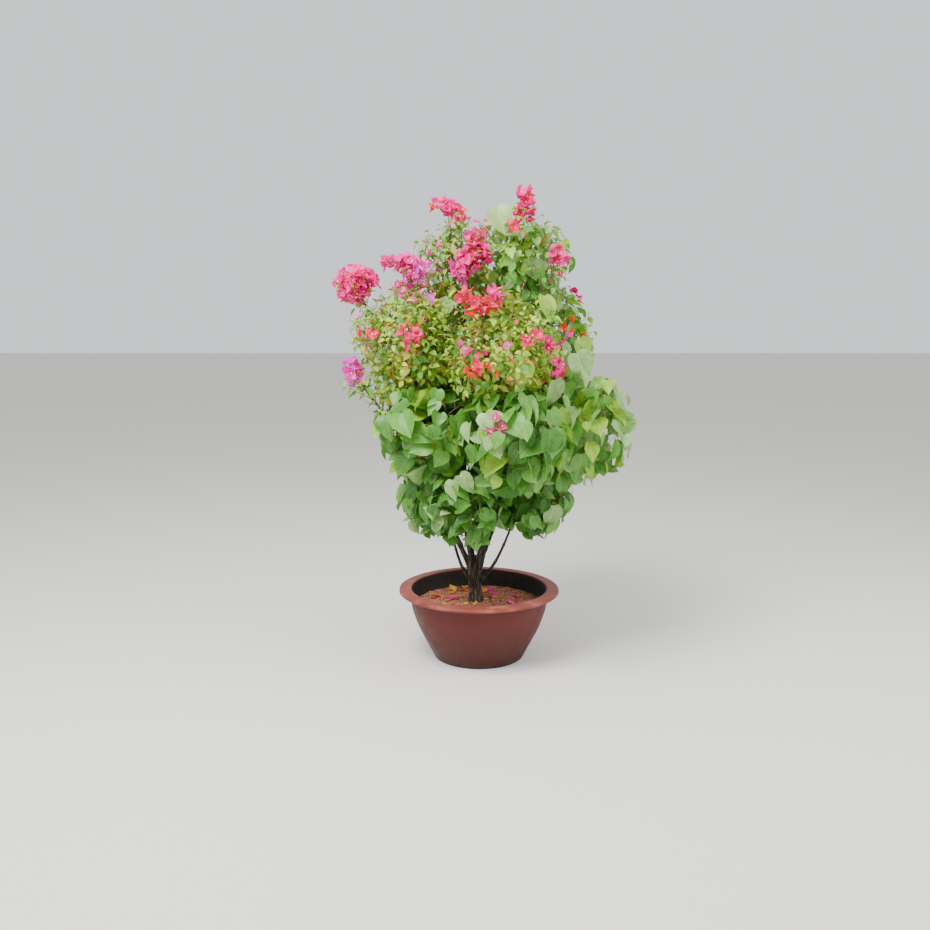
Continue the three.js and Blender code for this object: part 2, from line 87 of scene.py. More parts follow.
def slopesOn(curve, shares):
    return unit(pointsOn([b - a for a, b in zip(curve, curve[1:])], shares))


def pointOn(curve, share):
    return pointsOn(curve, [share])[0]


def slopeOn(curve, share):
    return slopesOn(curve, [share])[0]


def across(tangents, turns):     # directions square to the tangents, turned round them
    steep = np.abs(tangents[..., 2:3]) > 0.9
    side = unit(np.cross(tangents, np.where(steep, np.array((1.0, 0.0, 0.0)), upward)))
    turns = np.asarray(turns, float)[..., None]
    return side * np.cos(turns) + np.cross(tangents, side) * np.sin(turns)


def distances(points, place):
    return np.linalg.norm(points - place, axis=-1)


def randomFrom(seed):            # the same numbers as the solids grow from
    state = (seed * 7919 + 1013) % 2147483647

    def draw():
        nonlocal state
        state = state * 16807 % 2147483647
        return state / 2147483647
    return draw


# The plan of the bush, as the solids have it: tiers of foliage, then blossom heads on canes.
trunk = dict(footX=-14, topX=-27, height=176, footRadius=23, topRadius=20, flare=11, flareHeight=26, lobes=5,
             lobeDepth=0.3)
soil = dict(top=205, edgeDrop=7, flatRadius=80)
tiers = [
    dict(name="lower", count=4, first=248, height=600, lean=10, reach=180, half=(165, 165, 170), twigs=5),
    dict(name="middle", count=5, first=278, height=865, lean=80, reach=290, half=(200, 200, 220), twigs=6),
    dict(name="upper", count=4, first=292, height=1175, lean=-28, reach=252, half=(222, 214, 245), twigs=7),
    dict(name="crown", count=2, first=160, height=1462, lean=45, reach=112, half=(188, 176, 208), twigs=6),
]
jitter = dict(height=22, reach=12, size=0.05)
# A head's cane starts on that stem, at the share along of its length. The bracts follow a line across the
# head, given in shares of its half sizes across and up, and tints are their colours in order along it.
heads = [
    dict(name="left", at=(-432, -90, 1379), half=(92, 85, 80), stem=4, along=0.66, slot="rose", thick=0.74,
         line=((-0.5, -0.3), (-0.1, 0.0), (0.25, 0.6)), tints="rose crimson rose pink rose"),
    dict(name="left_top", at=(-257, -80, 1443), half=(116, 68, 58), stem=5, along=0.46, slot="pink",
         thick=0.48, line=((-0.85, 0.4), (-0.4, 0.5), (0.05, 0.1), (0.85, -0.65)),
         tints="rose pink pink pink lilac"),
    dict(name="left_low", at=(-445, -150, 1078), half=(54, 52, 60), stem=4, along=0.5, slot="lilac",
         thick=0.56, line=((-0.1, 0.6), (0.1, 0.0), (0.5, -0.6)), tints="lilac pink lilac"),
    dict(name="centre", at=(-36, -130, 1469), half=(84, 70, 104), stem=5, along=0.56, slot="crimson",
         thick=0.44, line=((0.2, 0.75), (0.55, 0.15), (-0.1, 0.0), (-0.46, -0.5)),
         tints="rose crimson crimson rose pink"),
    dict(name="spire", at=(-114, -40, 1635), half=(84, 55, 66), stem=5, along=0.72, slot="crimson",
         thick=0.36, line=((-0.8, 0.75), (0.0, 0.25), (0.75, -0.45)), tints="orange rose pink rose red"),
    dict(name="top", at=(156, -20, 1656), half=(54, 50, 92), stem=5, along=0.66, slot="red", thick=0.5,
         line=((-0.1, 0.8), (0.35, 0.1), (-0.5, -0.75)), tints="rose red rose crimson red"),
    dict(name="front", at=(0, -330, 1316), half=(98, 68, 62), stem=1, along=0.7, slot="red", thick=0.36,
         line=((-0.75, 0.3), (-0.25, -0.45), (0.35, -0.1), (0.7, 0.55)), tints="red red orange red rose"),
    dict(name="right", at=(256, -165, 1470), half=(50, 48, 52), stem=2, along=0.74, slot="rose", thick=0.5,
         line=((0.0, 0.85), (0.1, 0.0), (0.6, -0.6)), tints="orange pink rose red"),
    dict(name="back_right", at=(215, 265, 1400), half=(88, 85, 78), stem=2, along=0.66, slot="rose",
         thick=0.5, line=((-0.8, 0.5), (0.0, 0.1), (0.7, -0.5)), tints="rose crimson pink"),
    dict(name="back_left", at=(-262, 262, 1388), half=(85, 82, 75), stem=3, along=0.7, slot="pink", thick=0.5,
         line=((-0.7, -0.5), (0.1, 0.3), (0.8, 0.4)), tints="pink lilac rose"),
    dict(name="back", at=(40, 415, 1235), half=(88, 66, 64), stem=3, along=0.56, slot="crimson", thick=0.5,
         line=((-0.6, 0.4), (0.0, 0.1), (0.6, -0.4)), tints="crimson rose red"),
]
limbRadii = dict(stem=(10.5, 5), leader=(11.5, 5.5), side=(6, 4), low=(7, 4), cane=(4.5, 3.2))
seats = dict(stem=0.54, stemStep=0.08, low=0.3, lowStep=0.05, side=0.4, sideStep=0.04, fork=0.62)
rises = dict(stem=62, low=40)    # degrees
seatShare = 0.15                 # how far inside its mass a limb ends
leastShare = 20                  # of the way between a head and a mass of foliage, what foliage keeps
spaceMargin = 3                  # between neighbouring masses, on either side
limbMargin = 2                   # between growth and the bark of a limb
runMargin = 70                   # round a mass, where its growth looks out for limbs

trunkFoot = np.array((trunk["footX"], 0, soil["top"] + gap))
trunkTop = trunkFoot + (trunk["topX"] - trunk["footX"], 0, trunk["height"])
trunkCurve = [trunkFoot, trunkFoot + (0, 0, trunk["height"] / 2), trunkTop]


def trunkRadius(along):
    return (mixed(trunk["footRadius"], trunk["topRadius"], along)
            + trunk["flare"] * math.exp(-along * trunk["height"] / trunk["flareHeight"]))


def shareOf(mass, other, apart):     # foliage makes room for a blossom head
    even = (apart ** 2 + mass["radius"] ** 2 - other["radius"] ** 2) / (2 * apart)
    if mass["kind"] == "head" and other["kind"] != "head":
        return max(even, min(mass["radius"], apart - leastShare))
    if other["kind"] == "head" and mass["kind"] != "head":
        return min(even, apart - min(other["radius"], apart - leastShare))
    return even


def makeMasses():
    made = []
    for tier in tiers:
        draw = randomFrom(tier["height"])
        for i in range(tier["count"]):
            turn = math.radians(tier["first"] + i * 360 / tier["count"])
            reach = tier["reach"] + (draw() - 0.5) * 2 * jitter["reach"]
            height = tier["height"] + (draw() - 0.5) * 2 * jitter["height"]
            size = 1 + (draw() - 0.5) * 2 * jitter["size"]
            centre = (tier["lean"] + reach * math.cos(turn), reach * math.sin(turn), height)
            made.append(dict(name=f"{tier['name']}_foliage_{i + 1}", kind=tier["name"], turn=turn, tier=tier,
                             centre=np.array(centre), half=np.array(tier["half"]) * size))
    for head in heads:
        made.append(dict(name="blossom_" + head["name"], kind="head", head=head,
                         centre=np.array(head["at"], float), half=np.array(head["half"], float)))
    for i, mass in enumerate(made):
        mass["seed"] = i + 1
        mass["radius"] = mass["half"].mean()
    for mass in made:
        others = [other for other in made if other is not mass]
        ways = np.array([other["centre"] - mass["centre"] for other in others])
        apart = np.linalg.norm(ways, axis=1)
        shares = np.array([shareOf(mass, other, d) for other, d in zip(others, apart)])
        mass["normals"] = unit(ways)
        mass["limits"] = mass["normals"] @ mass["centre"] + shares - spaceMargin
    return made


def inSpace(mass, points, slack=1.0, beyond=0):
    inside = (((points - mass["centre"]) / mass["half"]) ** 2).sum(-1) < slack ** 2
    return inside & (points @ mass["normals"].T < mass["limits"] + beyond).all(-1)


def roomAlong(mass, origins, directions, beyond=0):
    start = (origins - mass["centre"]) / mass["half"]
    step = directions / mass["half"]
    a = (step ** 2).sum(-1)
    b = (start * step).sum(-1)
    inside = b * b - a * ((start ** 2).sum(-1) - 1)
    room = np.where(inside > 0, (-b + np.sqrt(np.maximum(inside, 0))) / a, 0)
    closing = directions @ mass["normals"].T
    left = (mass["limits"] + beyond - origins @ mass["normals"].T) / np.maximum(closing, 1e-6)
    return np.maximum(0, np.minimum(room, np.where(closing > 1e-6, left, np.inf).min(-1)))


masses = makeMasses()
limbs = []


def ofKind(*kinds):
    return [mass for mass in masses if mass["kind"] in kinds]


def addLimb(name, mass, seat, first, parent, kind, bow):
    outward = unit(seat - mass["centre"])
    tip = mass["centre"] + outward * roomAlong(mass, mass["centre"], outward) * (1 - seatShare)
    span = np.linalg.norm(tip - seat)
    arrival = unit(mixed(unit(mass["centre"] - tip), upward, bow))
    curve = [seat, seat + first * span * 0.38, tip - arrival * span * 0.3, tip]
    mass["limb"] = dict(name=name, curve=curve, parent=parent, kind=kind, span=span, radii=limbRadii[kind])
    limbs.append(mass["limb"])
    return mass["limb"]


def fromTrunk(name, i, mass, kind, bow):
    seat = pointOn(trunkCurve, seats[kind] + seats[kind + "Step"] * (i % 2))
    return addLimb(name, mass, seat, polar(mass["turn"], math.radians(rises[kind])), "trunk", kind, bow)


def fromStem(name, mass, parent, along, toward, share, kind, bow):
    first = unit(mixed(slopeOn(parent["curve"], along), toward, share))
    addLimb(name, mass, pointOn(parent["curve"], along), first, parent, kind, bow)


def growLimbs():
    stems = [fromTrunk(f"stem_{i + 1}", i, mass, "stem", 0.55) for i, mass in enumerate(ofKind("upper"))]
    leaderMass, forkMass = ofKind("crown")
    onward = slopeOn(trunkCurve, 1)
    leader = addLimb("stem_5", leaderMass, trunkTop + onward * gap, onward, None, "leader", 0.8)
    for i, mass in enumerate(ofKind("lower")):
        fromTrunk(f"low_limb_{i + 1}", i, mass, "low", 0.3)
    for i, (mass, parent) in enumerate(zip(ofKind("middle"), stems[:2] + [leader] + stems[2:])):
        along = seats["side"] + seats["sideStep"] * (i % 3)
        fromStem(f"middle_limb_{i + 1}", mass, parent, along, polar(mass["turn"], 0.2), 0.55, "side", 0.15)
    fromStem("crown_limb", forkMass, leader, seats["fork"], polar(forkMass["turn"], 0.3), 0.4, "side", 0.5)
    for mass in ofKind("head"):
        head = mass["head"]
        parent = (stems + [leader])[head["stem"] - 1]
        outward = unit(mass["centre"] - pointOn(parent["curve"], head["along"]))
        fromStem("cane_" + head["name"], mass, parent, head["along"], outward, 0.5, "cane", 0.2)


growLimbs()


def limbRadius(limb, along):
    return mixed(*limb["radii"], along)


# Short straight runs along every limb, to keep growth clear of them.
def makeRuns():
    rows = []
    for limb in limbs + [dict(curve=trunkCurve, radii=(trunk["footRadius"], trunk["topRadius"]))]:
        shares = np.linspace(0, 1, 25)
        points = pointsOn(limb["curve"], shares)
        rows.append((points[:-1], np.diff(points, axis=0), limbRadius(limb, shares[:-1])))
    return [np.concatenate(part) for part in zip(*rows)]


runs = makeRuns()
for mass in masses:
    near = distances(runs[0], mass["centre"]) < mass["half"].max() + runMargin
    mass["runs"] = [part[near] for part in runs]


def isClear(mass, points, extra=limbMargin):
    starts, spans, radii = mass["runs"]
    ways = points.reshape(-1, 1, 3) - starts
    share = np.clip((ways * spans).sum(-1) / (spans ** 2).sum(-1), 0, 1)
    apart = np.linalg.norm(ways - share[..., None] * spans, axis=-1)
    return (apart > radii + extra).all(-1).reshape(points.shape[:-1])


# Meshes
def hexColour(text):             # sRGB hex to linear
    parts = [int(text[i:i + 2], 16) / 255 for i in (1, 3, 5)]
    return tuple(p / 12.92 if p <= 0.04045 else ((p + 0.055) / 1.055) ** 2.4 for p in parts) + (1.0,)


def meshFrom(made, name, smooth=True):
    mesh = bpy.data.meshes.new(name)
    for face in made.faces:
        face.smooth = smooth
    made.to_mesh(mesh)
    made.free()
    return mesh


def addObject(name, data):
    made = bpy.data.objects.new(name, data)
    bpy.context.scene.collection.objects.link(made)
    return made


pieces = []


def newPiece(name, mesh, material, nodes=()):
    piece = addObject(name, mesh)
    mesh.materials.append(material)
    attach(piece, "root")
    if nodes:
        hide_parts(*nodes)
    pieces.append(piece)
    return piece


class Gathered:                  # many small shapes that become one mesh
    def __init__(self):
        self.points, self.corners, self.sizes, self.maps = [], [], [], []
        self.count = 0

    def add(self, shape, points):    # points: one row of the shape's corners for each copy
        copies, each = points.shape[:2]
        offsets = self.count + np.arange(copies)[:, None] * each
        self.points.append(points.reshape(-1, 3))
        self.corners.append((shape["corners"] + offsets).ravel())
        self.sizes.append(np.tile(shape["sizes"], copies))
        self.maps.append(np.tile(shape["map"], (copies, 1)))
        self.count += copies * each

    def mesh(self, name, smooth=True):
        mesh = bpy.data.meshes.new(name)
        corners, sizes = np.concatenate(self.corners), np.concatenate(self.sizes)
        mesh.vertices.add(self.count)
        mesh.vertices.foreach_set("co", (np.concatenate(self.points) * mm).ravel())
        mesh.loops.add(len(corners))
        mesh.loops.foreach_set("vertex_index", corners)
        mesh.polygons.add(len(sizes))
        mesh.polygons.foreach_set("loop_start", np.cumsum(sizes) - sizes)
        mesh.uv_layers.new(name="grown").data.foreach_set("uv", np.concatenate(self.maps).ravel())
        mesh.polygons.foreach_set("use_smooth", np.full(len(sizes), smooth))
        mesh.update(calc_edges=True)
        return mesh


def shapeOf(points, faces):      # a small shape, its faces and where each corner falls on the leaf map
    corners = np.concatenate([np.array(face) for face in faces])
    flat = np.array(points, float)
    return dict(points=flat, corners=corners, sizes=np.array([len(face) for face in faces]),
                map=flat[corners][:, :2] + (0.5, 0))


def bladeShape(stations, columns, notch=0.0):
    points = [(0.0, 0.0)]
    faces = []
    width = 2 * columns + 1
    for along, half in stations:
        for column in range(-columns, columns + 1):
            x = column / columns
            points.append((x * half, along - notch * abs(x) ** 1.5 * (1 - along) ** 4))
    points.append((0.0, 1.0))
    last = len(points) - 1
    for k in range(width - 1):
        faces.append((0, 2 + k, 1 + k))
        for row in range(len(stations) - 1):
            a = 1 + row * width + k
            faces.append((a, a + 1, a + 1 + width, a + width))
        a = last - width + k
        faces.append((a, a + 1, last))
    return shapeOf(points, faces)


blades = dict(
    ovate=bladeShape([(0.12, 0.31), (0.33, 0.49), (0.58, 0.42), (0.82, 0.19)], 1),
    heart=bladeShape([(0.04, 0.23), (0.13, 0.4), (0.27, 0.49), (0.44, 0.48), (0.62, 0.37), (0.79, 0.21),
                      (0.92, 0.07)], 2, notch=0.15),
    bract=bladeShape([(0.1, 0.28), (0.32, 0.48), (0.58, 0.42), (0.82, 0.17)], 1, notch=0.06),
)


def placeBlades(shape, roots, alongs, overs, lengths, widths, random, bends):
    fold, curl, ripple = (random.uniform(*bend, len(roots))[:, None] for bend in bends)
    phase = random.uniform(0, 6, len(roots))[:, None]
    x, y = shape["points"][:, 0], shape["points"][:, 1]
    lengths, widths = lengths[:, None], widths[:, None]
    aside = np.abs(x) * widths
    lift = aside * fold - curl * lengths * y ** 2
    lift = lift + ripple * aside * np.sin(9 * y + phase + 2 * np.sign(x))
    sides = np.cross(alongs, overs)
    return (roots[:, None] + sides[:, None] * (x * widths)[..., None]
            + alongs[:, None] * (y * lengths)[..., None] + overs[:, None] * lift[..., None])


def addBlades(table, tint, shape, points):    # to the mesh of that colour
    if len(points):
        table.setdefault(tint, Gathered()).add(shape, points)


def tintPieces(prefix, table, materials, nodes=()):
    for tint, gathered in table.items():
        newPiece(f"{prefix}_{tint}", gathered.mesh(prefix), materials[tint], nodes)


def addEven(gathered, curves, radii, sides, rings):    # tubes that all have the same base and tip radius
    addTubes(gathered, curves, np.full(len(curves), radii[0]), np.full(len(curves), radii[1]), sides, rings)


def addTubes(gathered, curves, baseRadii, tipRadii, sides, rings):
    if not len(curves):
        return
    shares = np.linspace(0, 1, rings)
    curves = np.array(curves)
    controls = [curves[:, None, k] for k in range(curves.shape[1])]
    middle, tangent = pointsOn(controls, shares), slopesOn(controls, shares)
    chord = unit(curves[:, -1] - curves[:, 0])
    reference = np.where(np.abs(chord[:, :1]) < 0.7, np.array((1.0, 0, 0)), np.array((0, 1.0, 0)))[:, None]
    side = unit(np.cross(reference, tangent))
    other = np.cross(tangent, side)
    turns = np.arange(sides) * fullTurn / sides
    radii = np.asarray(baseRadii)[:, None] + (np.asarray(tipRadii) - baseRadii)[:, None] * shares
    ring = side[:, :, None] * np.cos(turns)[:, None] + other[:, :, None] * np.sin(turns)[:, None]
    points = middle[:, :, None] + ring * radii[:, :, None, None]
    faces = [tuple(range(sides))[::-1], tuple((rings - 1) * sides + k for k in range(sides))]
    for r in range(rings - 1):
        for k in range(sides):
            a, b = r * sides + k, r * sides + (k + 1) % sides
            faces.append((a, b, b + sides, a + sides))
    flat = [(k / sides, r / rings) for r in range(rings) for k in range(sides)]
    gathered.add(shapeOf(flat, faces), points.reshape(len(curves), rings * sides, 3))


# Materials. kind is that of a new node, or a node that is there already. A link comes from a node's first
# output, or from the output that is named beside it.
def addNode(tree, kind, settings=None, links=None):
    node = tree.nodes.new("ShaderNode" + kind) if isinstance(kind, str) else kind
    for key, value in (settings or {}).items():
        if key == "stops":
            ramp = node.color_ramp
            while len(ramp.elements) < len(value):
                ramp.elements.new(0.5)
            for stop, (place, colour) in zip(ramp.elements, value):
                stop.position = place
                stop.color = hexColour(colour)
        elif isinstance(key, str) and hasattr(node, key):
            setattr(node, key, value)
        else:
            node.inputs[key].default_value = value
    for key, source in (links or {}).items():
        origin, output = source if isinstance(source, tuple) else (source, 0)
        tree.links.new(origin.outputs[output], node.inputs[key])
    return node


def startMaterial(name, roughness, **sockets):
    material = bpy.data.materials.new(name)
    material.use_nodes = True
    material.node_tree.nodes.clear()
    add = partial(addNode, material.node_tree)
    shader = add("BsdfPrincipled", {"Roughness": roughness, **sockets})
    output = add("OutputMaterial", {}, {"Surface": shader})
    return material, add, shader, output


def perMetre(size):              # a noise scale that gives features of this size in millimetres
    return 1000 / size


# Living leaf: waxy skin over soft tissue, so a low sheen in front and light that comes through from behind.
# A papery bract is like it, only duller, and it lets more light through.
def leafMaterial(name, colour, veinColour, roughness=0.42, through=0.38, veins=6, mottle=22):
    material, add, shader, output = startMaterial(name, roughness)
    place = add("TexCoord")
    patches = add("TexNoise", {"Scale": perMetre(mottle), "Detail": 3.0}, {"Vector": (place, "Object")})
    spread = add("MapRange", {"From Min": 0.3, "From Max": 0.7, "To Min": 0.78, "To Max": 1.2},
                 {"Value": patches})
    toned = add("HueSaturation", {"Color": hexColour(colour)}, {"Value": spread})
    split = add("SeparateXYZ", {}, {0: (place, "UV")})
    offset = add("Math", {"operation": "SUBTRACT", 1: 0.5}, {0: (split, "X")})
    aside = add("Math", {"operation": "ABSOLUTE"}, {0: offset})
    midrib = add("MapRange", {"From Min": 0.012, "From Max": 0.035, "To Min": 1, "To Max": 0},
                 {"Value": aside})
    slant = add("Math", {"operation": "MULTIPLY_ADD", 1: -0.75}, {0: aside, 2: (split, "Y")})
    wave = add("Math", {"operation": "MULTIPLY", 1: veins * fullTurn}, {0: slant})
    crest = add("Math", {"operation": "SINE"}, {0: wave})
    ribs = add("MapRange", {"From Min": 0.7, "From Max": 1, "To Min": 0, "To Max": 0.4}, {"Value": crest})
    vein = add("Math", {"operation": "MAXIMUM"}, {0: midrib, 1: ribs})
    faded = add("Math", {"operation": "MULTIPLY", 1: 0.45}, {0: vein})
    veined = add("Mix", {"data_type": "RGBA", 7: hexColour(veinColour)}, {0: faded, 6: toned})
    relief = add("Bump", {"Strength": 0.5, "Distance": 0.0006, "invert": True}, {"Height": vein})
    add(shader, {}, {"Base Color": (veined, 2), "Normal": relief})
    behind = add("BsdfTranslucent", {}, {"Color": (veined, 2)})
    both = add("MixShader", {"Fac": through}, {1: shader, 2: behind})
    add(output, {}, {"Surface": both})
    return material


# The plain base colours of the leaves and bracts, each with the colour of its veins. All the leaves of a twig
# and all the bracts of a spray are dealt the same one.
leafTints = dict(
    deep=("#35661a", "#659244"), shade=("#4a8628", "#82ad5e"), mid=("#68a63e", "#a4cc7c"),
    pale=("#94ba6e", "#c0d8a2"), fresh=("#97c434", "#c6dc7c"), olive=("#acb03a", "#ccce78"),
    lime=("#c2d648", "#e0ea92"), bronze=("#bc7240", "#d6a46c"), amber=("#dca432", "#ecc878"),
)
bractTints = dict(
    rose=("#fb1c9e", "#fc5cb8"), pink=("#f81cb2", "#fa5cca"), lilac=("#f84cdc", "#fb84ea"),
    crimson=("#e80e80", "#ee4a9c"), red=("#f42060", "#f65c80"), orange=("#f45826", "#f88450"),
    cream=("#f2e6c8", "#fbf6e4"),
)
leafMaterials = {name: leafMaterial(f"living leaf, {name}", *tint) for name, tint in leafTints.items()}
bractMaterials = {name: leafMaterial(f"papery bract, {name}", *tint, roughness=0.62, through=0.42, veins=5)
                  for name, tint in bractTints.items()}


# Bark of a young shrub: grey-brown cork with darker furrows, from the depth stored on the mesh.
def barkMaterial(name, stops, grain=3.5):
    material, add, shader, _ = startMaterial(name, 0.85)
    depth = add("Attribute", {"attribute_name": "relief"})
    place = add("TexCoord")
    grains = add("TexNoise", {"Scale": perMetre(grain), "Detail": 5.0}, {"Vector": (place, "Object")})
    patches = add("TexNoise", {"Scale": perMetre(38), "Detail": 2.0}, {"Vector": (place, "Object")})
    total = add("Math", {"operation": "MULTIPLY_ADD", 1: 0.45}, {0: grains, 2: (depth, "Fac")})
    shifted = add("Math", {"operation": "MULTIPLY_ADD", 1: 0.4}, {0: patches, 2: total})
    level = add("MapRange", {"From Min": 0.3, "From Max": 1.45}, {"Value": shifted})
    colour = add("ValToRGB", {"stops": stops}, {"Fac": level})
    bump = add("Bump", {"Strength": 0.6, "Distance": 0.0008}, {"Height": grains})
    add(shader, {}, {"Base Color": colour, "Normal": bump})
    return material


# These stops are darker than the bark's own grey-brown: painted shade, for the deep shade the trunk and stems
# sit in under the crown.
bark = barkMaterial("corky grey-brown bark, painted shade",
                    [(0.0, "#0e0a07"), (0.4, "#261e15"), (0.7, "#403627"), (1.0, "#665b49")])
caneBark = barkMaterial("smooth young bark", [(0.0, "#382a18"), (0.5, "#64522e"), (1.0, "#8a7c4c")], grain=6)


# Green twigs and stalks: a smooth skin, browner where it is older.
def twigMaterial(name, young, old):
    material, add, shader, _ = startMaterial(name, 0.6)
    place = add("TexCoord")
    patches = add("TexNoise", {"Scale": perMetre(30), "Detail": 3.0}, {"Vector": (place, "Object")})
    colour = add("ValToRGB", {"stops": [(0.35, old), (0.65, young)]}, {"Fac": patches})
    add(shader, {}, {"Base Color": colour})
    return material


twigSkin = twigMaterial("green-brown twig skin", "#7c7a3c", "#5a4428")
stalkSkin = twigMaterial("green leaf stalk skin", "#94a04c", "#9a6a44")
blossomSkin = twigMaterial("reddish flower stalk skin", "#a08448", "#8e3c40")

# Trunk and limbs: swept tubes whose skin is pushed into furrows and ridges.
barkShape = dict(
    trunk=dict(sides=88, step=2.2, furrow=2.6, ridges=13, stretch=34),
    stem=dict(sides=28, step=3.5, furrow=0.95, ridges=7, stretch=30),
    leader=dict(sides=30, step=3.5, furrow=1.0, ridges=7, stretch=30),
    side=dict(sides=16, step=4.5, furrow=0.4, ridges=5, stretch=24),
    low=dict(sides=18, step=4.0, furrow=0.5, ridges=5, stretch=24),
    cane=dict(sides=12, step=5.5, furrow=0.2, ridges=4, stretch=20),
    collar=dict(swell=0.55, length=16),   # how a limb widens into its parent
    knots=dict(every=74, swell=0.16, length=9),
)


def sweepBark(curve, radiusAt, look, seed):
    span = np.linalg.norm(np.diff(pointsOn(curve, np.linspace(0, 1, 30)), axis=0), axis=1).sum()
    shares = np.linspace(0, 1, max(6, round(span / look["step"])) + 1)
    side = Vector((1, 0, 0))
    mesh = bmesh.new()
    depth = mesh.verts.layers.float.new("relief")
    ring = edges = before = None
    for share, point, tangent in zip(shares, pointsOn(curve, shares), slopesOn(curve, shares)):
        ahead = Vector(tangent)
        side = (side - ahead * side.dot(ahead)).normalized()
        frameHere = Matrix((side, ahead.cross(side), ahead)).transposed().to_4x4()
        here = Matrix.Translation(Vector(point) * mm) @ frameHere @ Matrix.Scale(mm, 4)
        if ring is None:
            made = bmesh.ops.create_circle(mesh, cap_ends=True, segments=look["sides"], radius=1, matrix=here)
            ring = made["verts"]
            edges = list(mesh.edges)
        else:
            grown = bmesh.ops.extrude_edge_only(mesh, edges=edges)["geom"]
            ring = [part for part in grown if isinstance(part, bmesh.types.BMVert)]
            new = set(ring)
            edges = [part for part in grown
                     if isinstance(part, bmesh.types.BMEdge) and new.issuperset(part.verts)]
            bmesh.ops.transform(mesh, matrix=here @ before.inverted(), verts=ring)
        before = here
        radius = radiusAt(share)
        back = here.inverted()
        for vert in ring:
            local = back @ vert.co
            turn = math.atan2(local.y, local.x)
            spot = Vector((math.cos(turn) * look["ridges"] / 3, math.sin(turn) * look["ridges"] / 3,
                           share * span / look["stretch"] + seed))
            ridge = abs(noise.noise(spot)) * 2 + noise.noise(spot * 2.7) * 0.35
            lobes = 1
            if look is barkShape["trunk"]:
                fade = math.exp(-share * trunk["height"] / trunk["flareHeight"])
                lobes += trunk["lobeDepth"] * 0.5 * fade * math.cos(trunk["lobes"] * turn)
            local.xy = local.xy.normalized() * (radius * lobes - look["furrow"] * (0.75 - ridge))
            vert.co = here @ local
            vert[depth] = min(1, max(0, ridge))
    bmesh.ops.contextual_create(mesh, geom=edges)
    bmesh.ops.recalc_face_normals(mesh, faces=mesh.faces)
    return meshFrom(mesh, "bark")


def makeLimbs():
    newPiece("trunk_bark", sweepBark(trunkCurve, trunkRadius, barkShape["trunk"], 0), bark, ["trunk"])
    collar, knots = barkShape["collar"], barkShape["knots"]
    for i, limb in enumerate(limbs):
        def radiusAt(along, limb=limb, seed=i):
            run = along * limb["span"]
            start = limbRadius(limb["parent"], 0.5) * 0.8 if isinstance(limb["parent"], dict) else 12
            swell = 0
            if limb["parent"]:
                swell = collar["swell"] * math.exp(-max(0, run - start) / collar["length"])
            offset = (run + seed * 23) % knots["every"] - knots["every"] / 2
            swell += knots["swell"] * math.exp(-(offset / knots["length"]) ** 2)
            return limbRadius(limb, along) * (1 + swell)
        mesh = sweepBark(limb["curve"], radiusAt, barkShape[limb["kind"]], 7.3 * (i + 1))
        skin = caneBark if limb["kind"] in ("side", "cane") else bark
        newPiece(limb["name"] + "_bark", mesh, skin, [limb["name"]])


makeLimbs()
print("limbs:", len(limbs) + 1)

# Wood inside the masses, first by the solids' rule and then in finer twigs.
twigRule = dict(radii=(2.5, 1.1), shortest=40, room=0.5, roomStep=0.16, first=0.14, stretch=0.78)
massStem = dict(tipRadius=1.4, lift=0.3, tries=12, reach=0.84, rootRoom=14, margin=4)
# A fine twig would rather set out forward and upward. It first goes ahead, then bends toward its end. Its
# radius goes with the loading power of how many leafy twigs and clusters it carries.
fineTwig = dict(forward=0.5, rising=0.25, shortest=12, ahead=0.3, toward=0.22, lift=0.05, step=12,
                radius=0.8, loading=0.4, thickest=2.2)
# young is the share of its full size that the last leaf on a shoot has, and grade is how the size of the
# leaves goes with the height.
broad = dict(blade="heart", young=0.75, spread=0.9, sag=0.75)
fine = dict(blade="ovate", young=0.55, spread=1.0, sag=0.3)
foliage = dict(
    lower=dict(broad, spacing=42, leafy=120, step=19, length=(68, 122), width=0.82, petiole=18, spread=1.0,
               sag=0.6, grade=((450, 0.85), (760, 1.15)), tints=dict(deep=2, shade=5, mid=6, pale=2)),
    middle=dict(broad, spacing=48, leafy=130, step=25, length=(82, 172), width=0.9, petiole=28,
                grade=((700, 0.75), (850, 1), (950, 1), (1080, 0.5)),
                tints=dict(mid=8, shade=5, pale=2, fresh=0.6)),
    side=dict(broad, spacing=46, leafy=130, step=23, length=(76, 150), width=0.88, petiole=26,
              grade=((700, 0.75), (850, 1), (950, 1), (1080, 0.6)),
              tints=dict(mid=5, shade=1, pale=5, fresh=0.6)),
    upper=dict(fine, spacing=28.5, leafy=84, step=7.5, length=(23, 42), width=0.68, petiole=6,
               grade=((980, 1.35), (1160, 1)), tints=dict(olive=2, fresh=6, lime=3, mid=3)),
    crown=dict(fine, spacing=28, leafy=90, step=9, length=(30, 58), width=0.7, petiole=8, sag=0.4,
               grade=((1300, 1), (1650, 0.75)), tints=dict(fresh=5, olive=1, mid=4, pale=3, lime=1)),
    wing=dict(broad, spacing=38, leafy=100, step=14, length=(48, 92), width=0.8, petiole=14, young=0.7,
              spread=1.0, sag=0.5, grade=((980, 1.25), (1160, 1), (1500, 0.8)),
              tints=dict(mid=6, pale=5, fresh=2)),
    head=dict(fine, spacing=20, leafy=40, step=30, length=(22, 38), width=0.64, petiole=5, sag=0.2,
              grade=((0, 1), (2000, 1)), tints=dict(fresh=4, olive=2, bronze=1)),
    cane=dict(fine, leafy=400, step=15, length=(26, 46), width=0.66, petiole=7,
              grade=((1000, 1.2), (1400, 0.95)), tints=dict(fresh=5, olive=2, mid=3)),
)
rightLooks = dict(upper=("wing", 120), crown=("wing", 120), middle=("side", 300))


def lookOf(mass):                # masses far to the right have larger, paler leaves than their like
    look, start = rightLooks.get(mass["kind"], (None, math.inf))
    return foliage[look if mass["centre"][0] > start else mass["kind"]]


